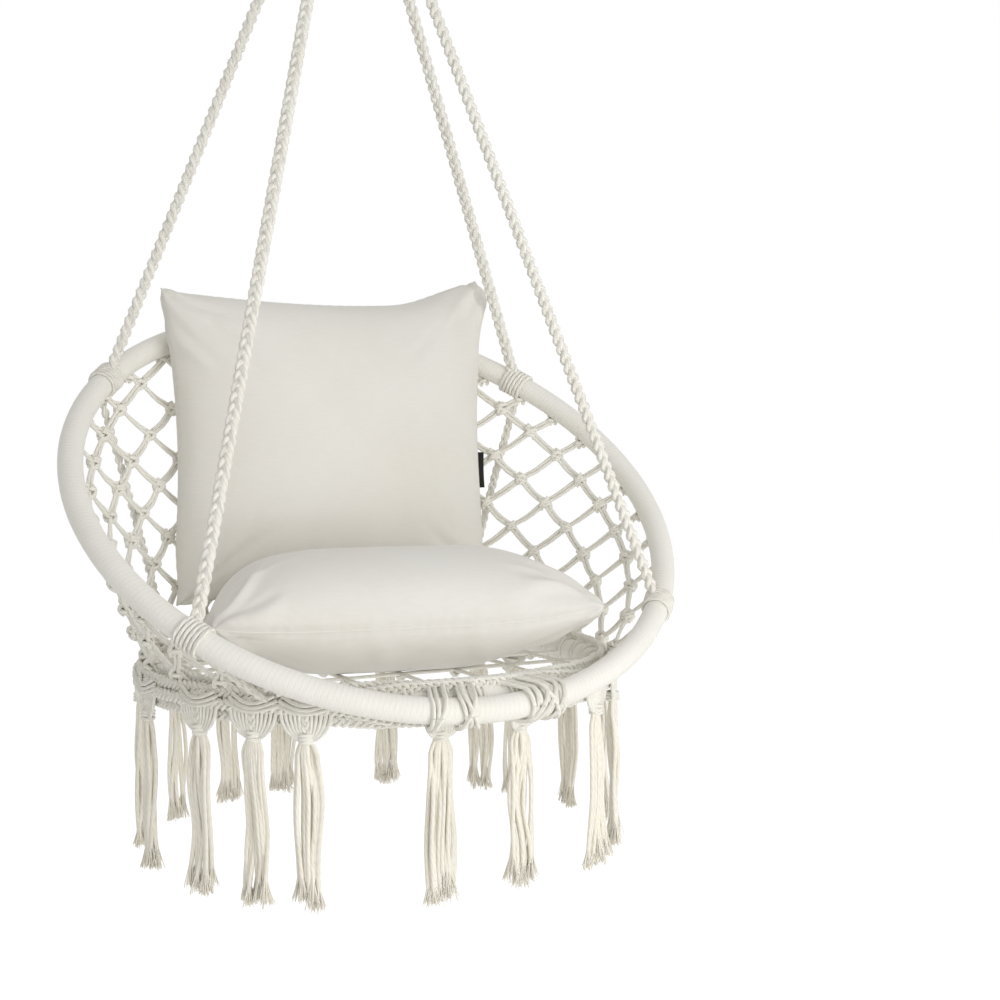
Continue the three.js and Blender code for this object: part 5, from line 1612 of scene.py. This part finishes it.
def sew_seam(piece, body, slot):
    """A fine ridge of folded cloth along the seam, laid through the points of the cushion's own edge."""
    flats = [Vector(cell.vector) for cell in piece.data.attributes["flat"].data]
    half_width, half_depth = CUSHION_WIDTH / 2, CUSHION_DEPTH / 2
    edge = [n for n, flat in enumerate(flats) if abs(flat.z) < RIDGE_FLAT
            and max(abs(flat.x) / half_width, abs(flat.y) / half_depth) > RIDGE_EDGE]
    edge.sort(key=lambda n: math.atan2(flats[n].y, flats[n].x))
    points = [piece.data.vertices[n].co.copy() for n in edge]
    seam = lay(piece.name + "_seam", [{"points": points, "closed": True, "side": (0, 0, 1)}], binding_cotton,
               diameter=RIDGE_CORD, sides=6, step=6)
    dress(seam, body, slot)
    return len(edge)


dress_canvas(seat_cushion, CUSHION_WIDTH, CUSHION_DEPTH, SEAT_FOLDS, 21, seat_canvas)
dress_canvas(back_cushion, CUSHION_WIDTH, BACK_HEIGHT, BACK_FOLDS, 22, back_canvas)
seat_points = read_vectors(seat_cushion.data.vertices, "co")
net_level = [place(p.x, p.y, NET_FACE).z for p in map(point_in_seat, seat_points)]
seat_points[:, 2] = np.maximum(seat_points[:, 2], net_level)
write_points(seat_cushion.data, seat_points)
print("points of the back cushion pressed off the seat cushion:", press_off(back_cushion, seat_cushion))
for piece, body, slot, fill in ((seat_cushion, "seat_cushion", "seat_canvas", 0.8),
                                (back_cushion, "back_cushion", "back_canvas", 0.75)):
    print("seam points:", sew_seam(piece, body, slot))
    dress(piece, body, slot, body + "_cover", body + "_pad")

# %% [markdown]
# Each cover closes with a zip in its rear seam: two tapes, a fine coil between them and a small slider. The
# back cushion also has a narrow folded tag of dark satin in its right-hand seam, left blank here.

# %% Zips
ZIP_LENGTH = 300
TAPE_ROWS = (1.3, 2.3, 3.3)
SLIDER_SIZE, PULL_SIZE = (0.009, 0.0032, 0.0062), (0.017, 0.0012, 0.0044)
PULL_PLACE = (0.011, 0.001, 0)
SLIDER_POINT = 6  # of the zip's line


def make_zip(name, where, depth, body):
    def at(y, z=0):
        return place(*where(0, depth / 2 + y, z))

    middle = []
    for t in shares(60):
        x = -ZIP_LENGTH / 2 + ZIP_LENGTH * t
        u = x / (CUSHION_WIDTH / 2)
        middle.append(place(*where(x, depth / 2 * (1 - SIDE_DRAW * (1 - u * u)) - 1, 0)))
    across, outward = (at(0, 5) - at(0)).normalized(), (at(5) - at(0)).normalized()
    lines = [{"points": [p + across * k * row * MM for p in middle], "side": across}
             for k in (-1, 1) for row in TAPE_ROWS]
    tapes = lay(name + "_tapes", lines, zip_tape, diameter=1.1, sides=6, step=6)
    coil = lay(name + "_coil", [{"points": middle, "side": across}], zip_tape, strands=2, diameter=0.8,
               swing=0.9, turn=2.4, sides=5, step=0.6)
    slider = bpy.data.meshes.new(name + "_slider")
    work = bmesh.new()
    bmesh.ops.create_cube(work, size=1.0, matrix=Matrix.Diagonal((*SLIDER_SIZE, 1)))
    pull = Matrix.Translation(PULL_PLACE) @ Matrix.Diagonal((*PULL_SIZE, 1))
    bmesh.ops.create_cube(work, size=1.0, matrix=pull)
    bmesh.ops.bevel(work, geom=work.edges[:], offset=0.0005, segments=2, affect="EDGES")
    basis = Matrix((across.cross(outward), outward, across)).transposed().to_4x4()
    work.transform(Matrix.Translation(middle[SLIDER_POINT]) @ basis)
    work.to_mesh(slider)
    work.free()
    slider.materials.append(tube_steel)
    metal = add_object(name + "_slider", slider)
    dress(tapes, body, "zip_tape", body + "_zip")
    dress(coil, body, "zip_tape")
    dress(metal, body, "zip_tape")
    return faces_of(tapes) + faces_of(coil) + faces_of(metal)


print("seat zip:", make_zip("seat_zip", seat_place, CUSHION_DEPTH, "seat_cushion"))
print("back zip:", make_zip("back_zip", back_place, BACK_HEIGHT, "back_cushion"))

# %% Blank tag
TAG_WIDTH, TAG_LENGTH, TAG_THICK = 12, 52, 1.0
TAG_OUT = 5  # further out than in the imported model
TAG_COLUMNS, TAG_ROWS = 8, 14
low, high = (Vector(corner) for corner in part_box("back_cushion_tag"))
tag_middle = (low + high) / 2
tag_middle.x += TAG_OUT * MM
tag_mesh = bpy.data.meshes.new("tag_cloth")
work = bmesh.new()
corners = {}
for side in (-1, 1):
    for i, u in enumerate(shares(TAG_COLUMNS)):
        for j, v in enumerate(shares(TAG_ROWS)):
            puff = TAG_THICK * (0.5 - 0.42 * u ** 6) * side
            bend = 1.6 * math.sin(math.pi * v) * u
            spot = Vector((-TAG_WIDTH * (0.5 - u), puff + bend, TAG_LENGTH * (v - 0.5))) * MM
            corners[side, i, j] = work.verts.new(tag_middle + Matrix.Rotation(-BACK_LEAN, 3, "X") @ spot)
for i in range(TAG_COLUMNS):
    for j in range(TAG_ROWS):
        quad = [(i, j), (i + 1, j), (i + 1, j + 1), (i, j + 1)]
        work.faces.new([corners[-1, a, b] for a, b in quad])
        work.faces.new([corners[1, a, b] for a, b in quad[::-1]])
edges = [((i, j), (i + 1, j)) for i in range(TAG_COLUMNS) for j in (0, TAG_ROWS)]
edges += [((i, j), (i, j + 1)) for j in range(TAG_ROWS) for i in (0, TAG_COLUMNS)]
for start, end in edges:
    work.faces.new([corners[side, *spot] for side, spot in ((-1, start), (1, start), (1, end), (-1, end))])
bmesh.ops.recalc_face_normals(work, faces=work.faces)
work.to_mesh(tag_mesh)
work.free()
tag_mesh.materials.append(tag_satin)
tag_layer = tag_mesh.uv_layers.new(name="cloth")
for loop in tag_mesh.loops:
    rel = tag_mesh.vertices[loop.vertex_index].co - tag_middle
    tag_layer.data[loop.index].uv = (rel.x, rel.z)
tag = add_object("tag_cloth", tag_mesh)
dress(tag, "back_cushion", "tag_cloth", "back_cushion_tag")
print("tag:", faces_of(tag))


# %% [markdown]
# The knot models were only patterns, so they go.

# %% Finish
for model in (knot_a, knot_b, hitch):
    bpy.data.objects.remove(model)
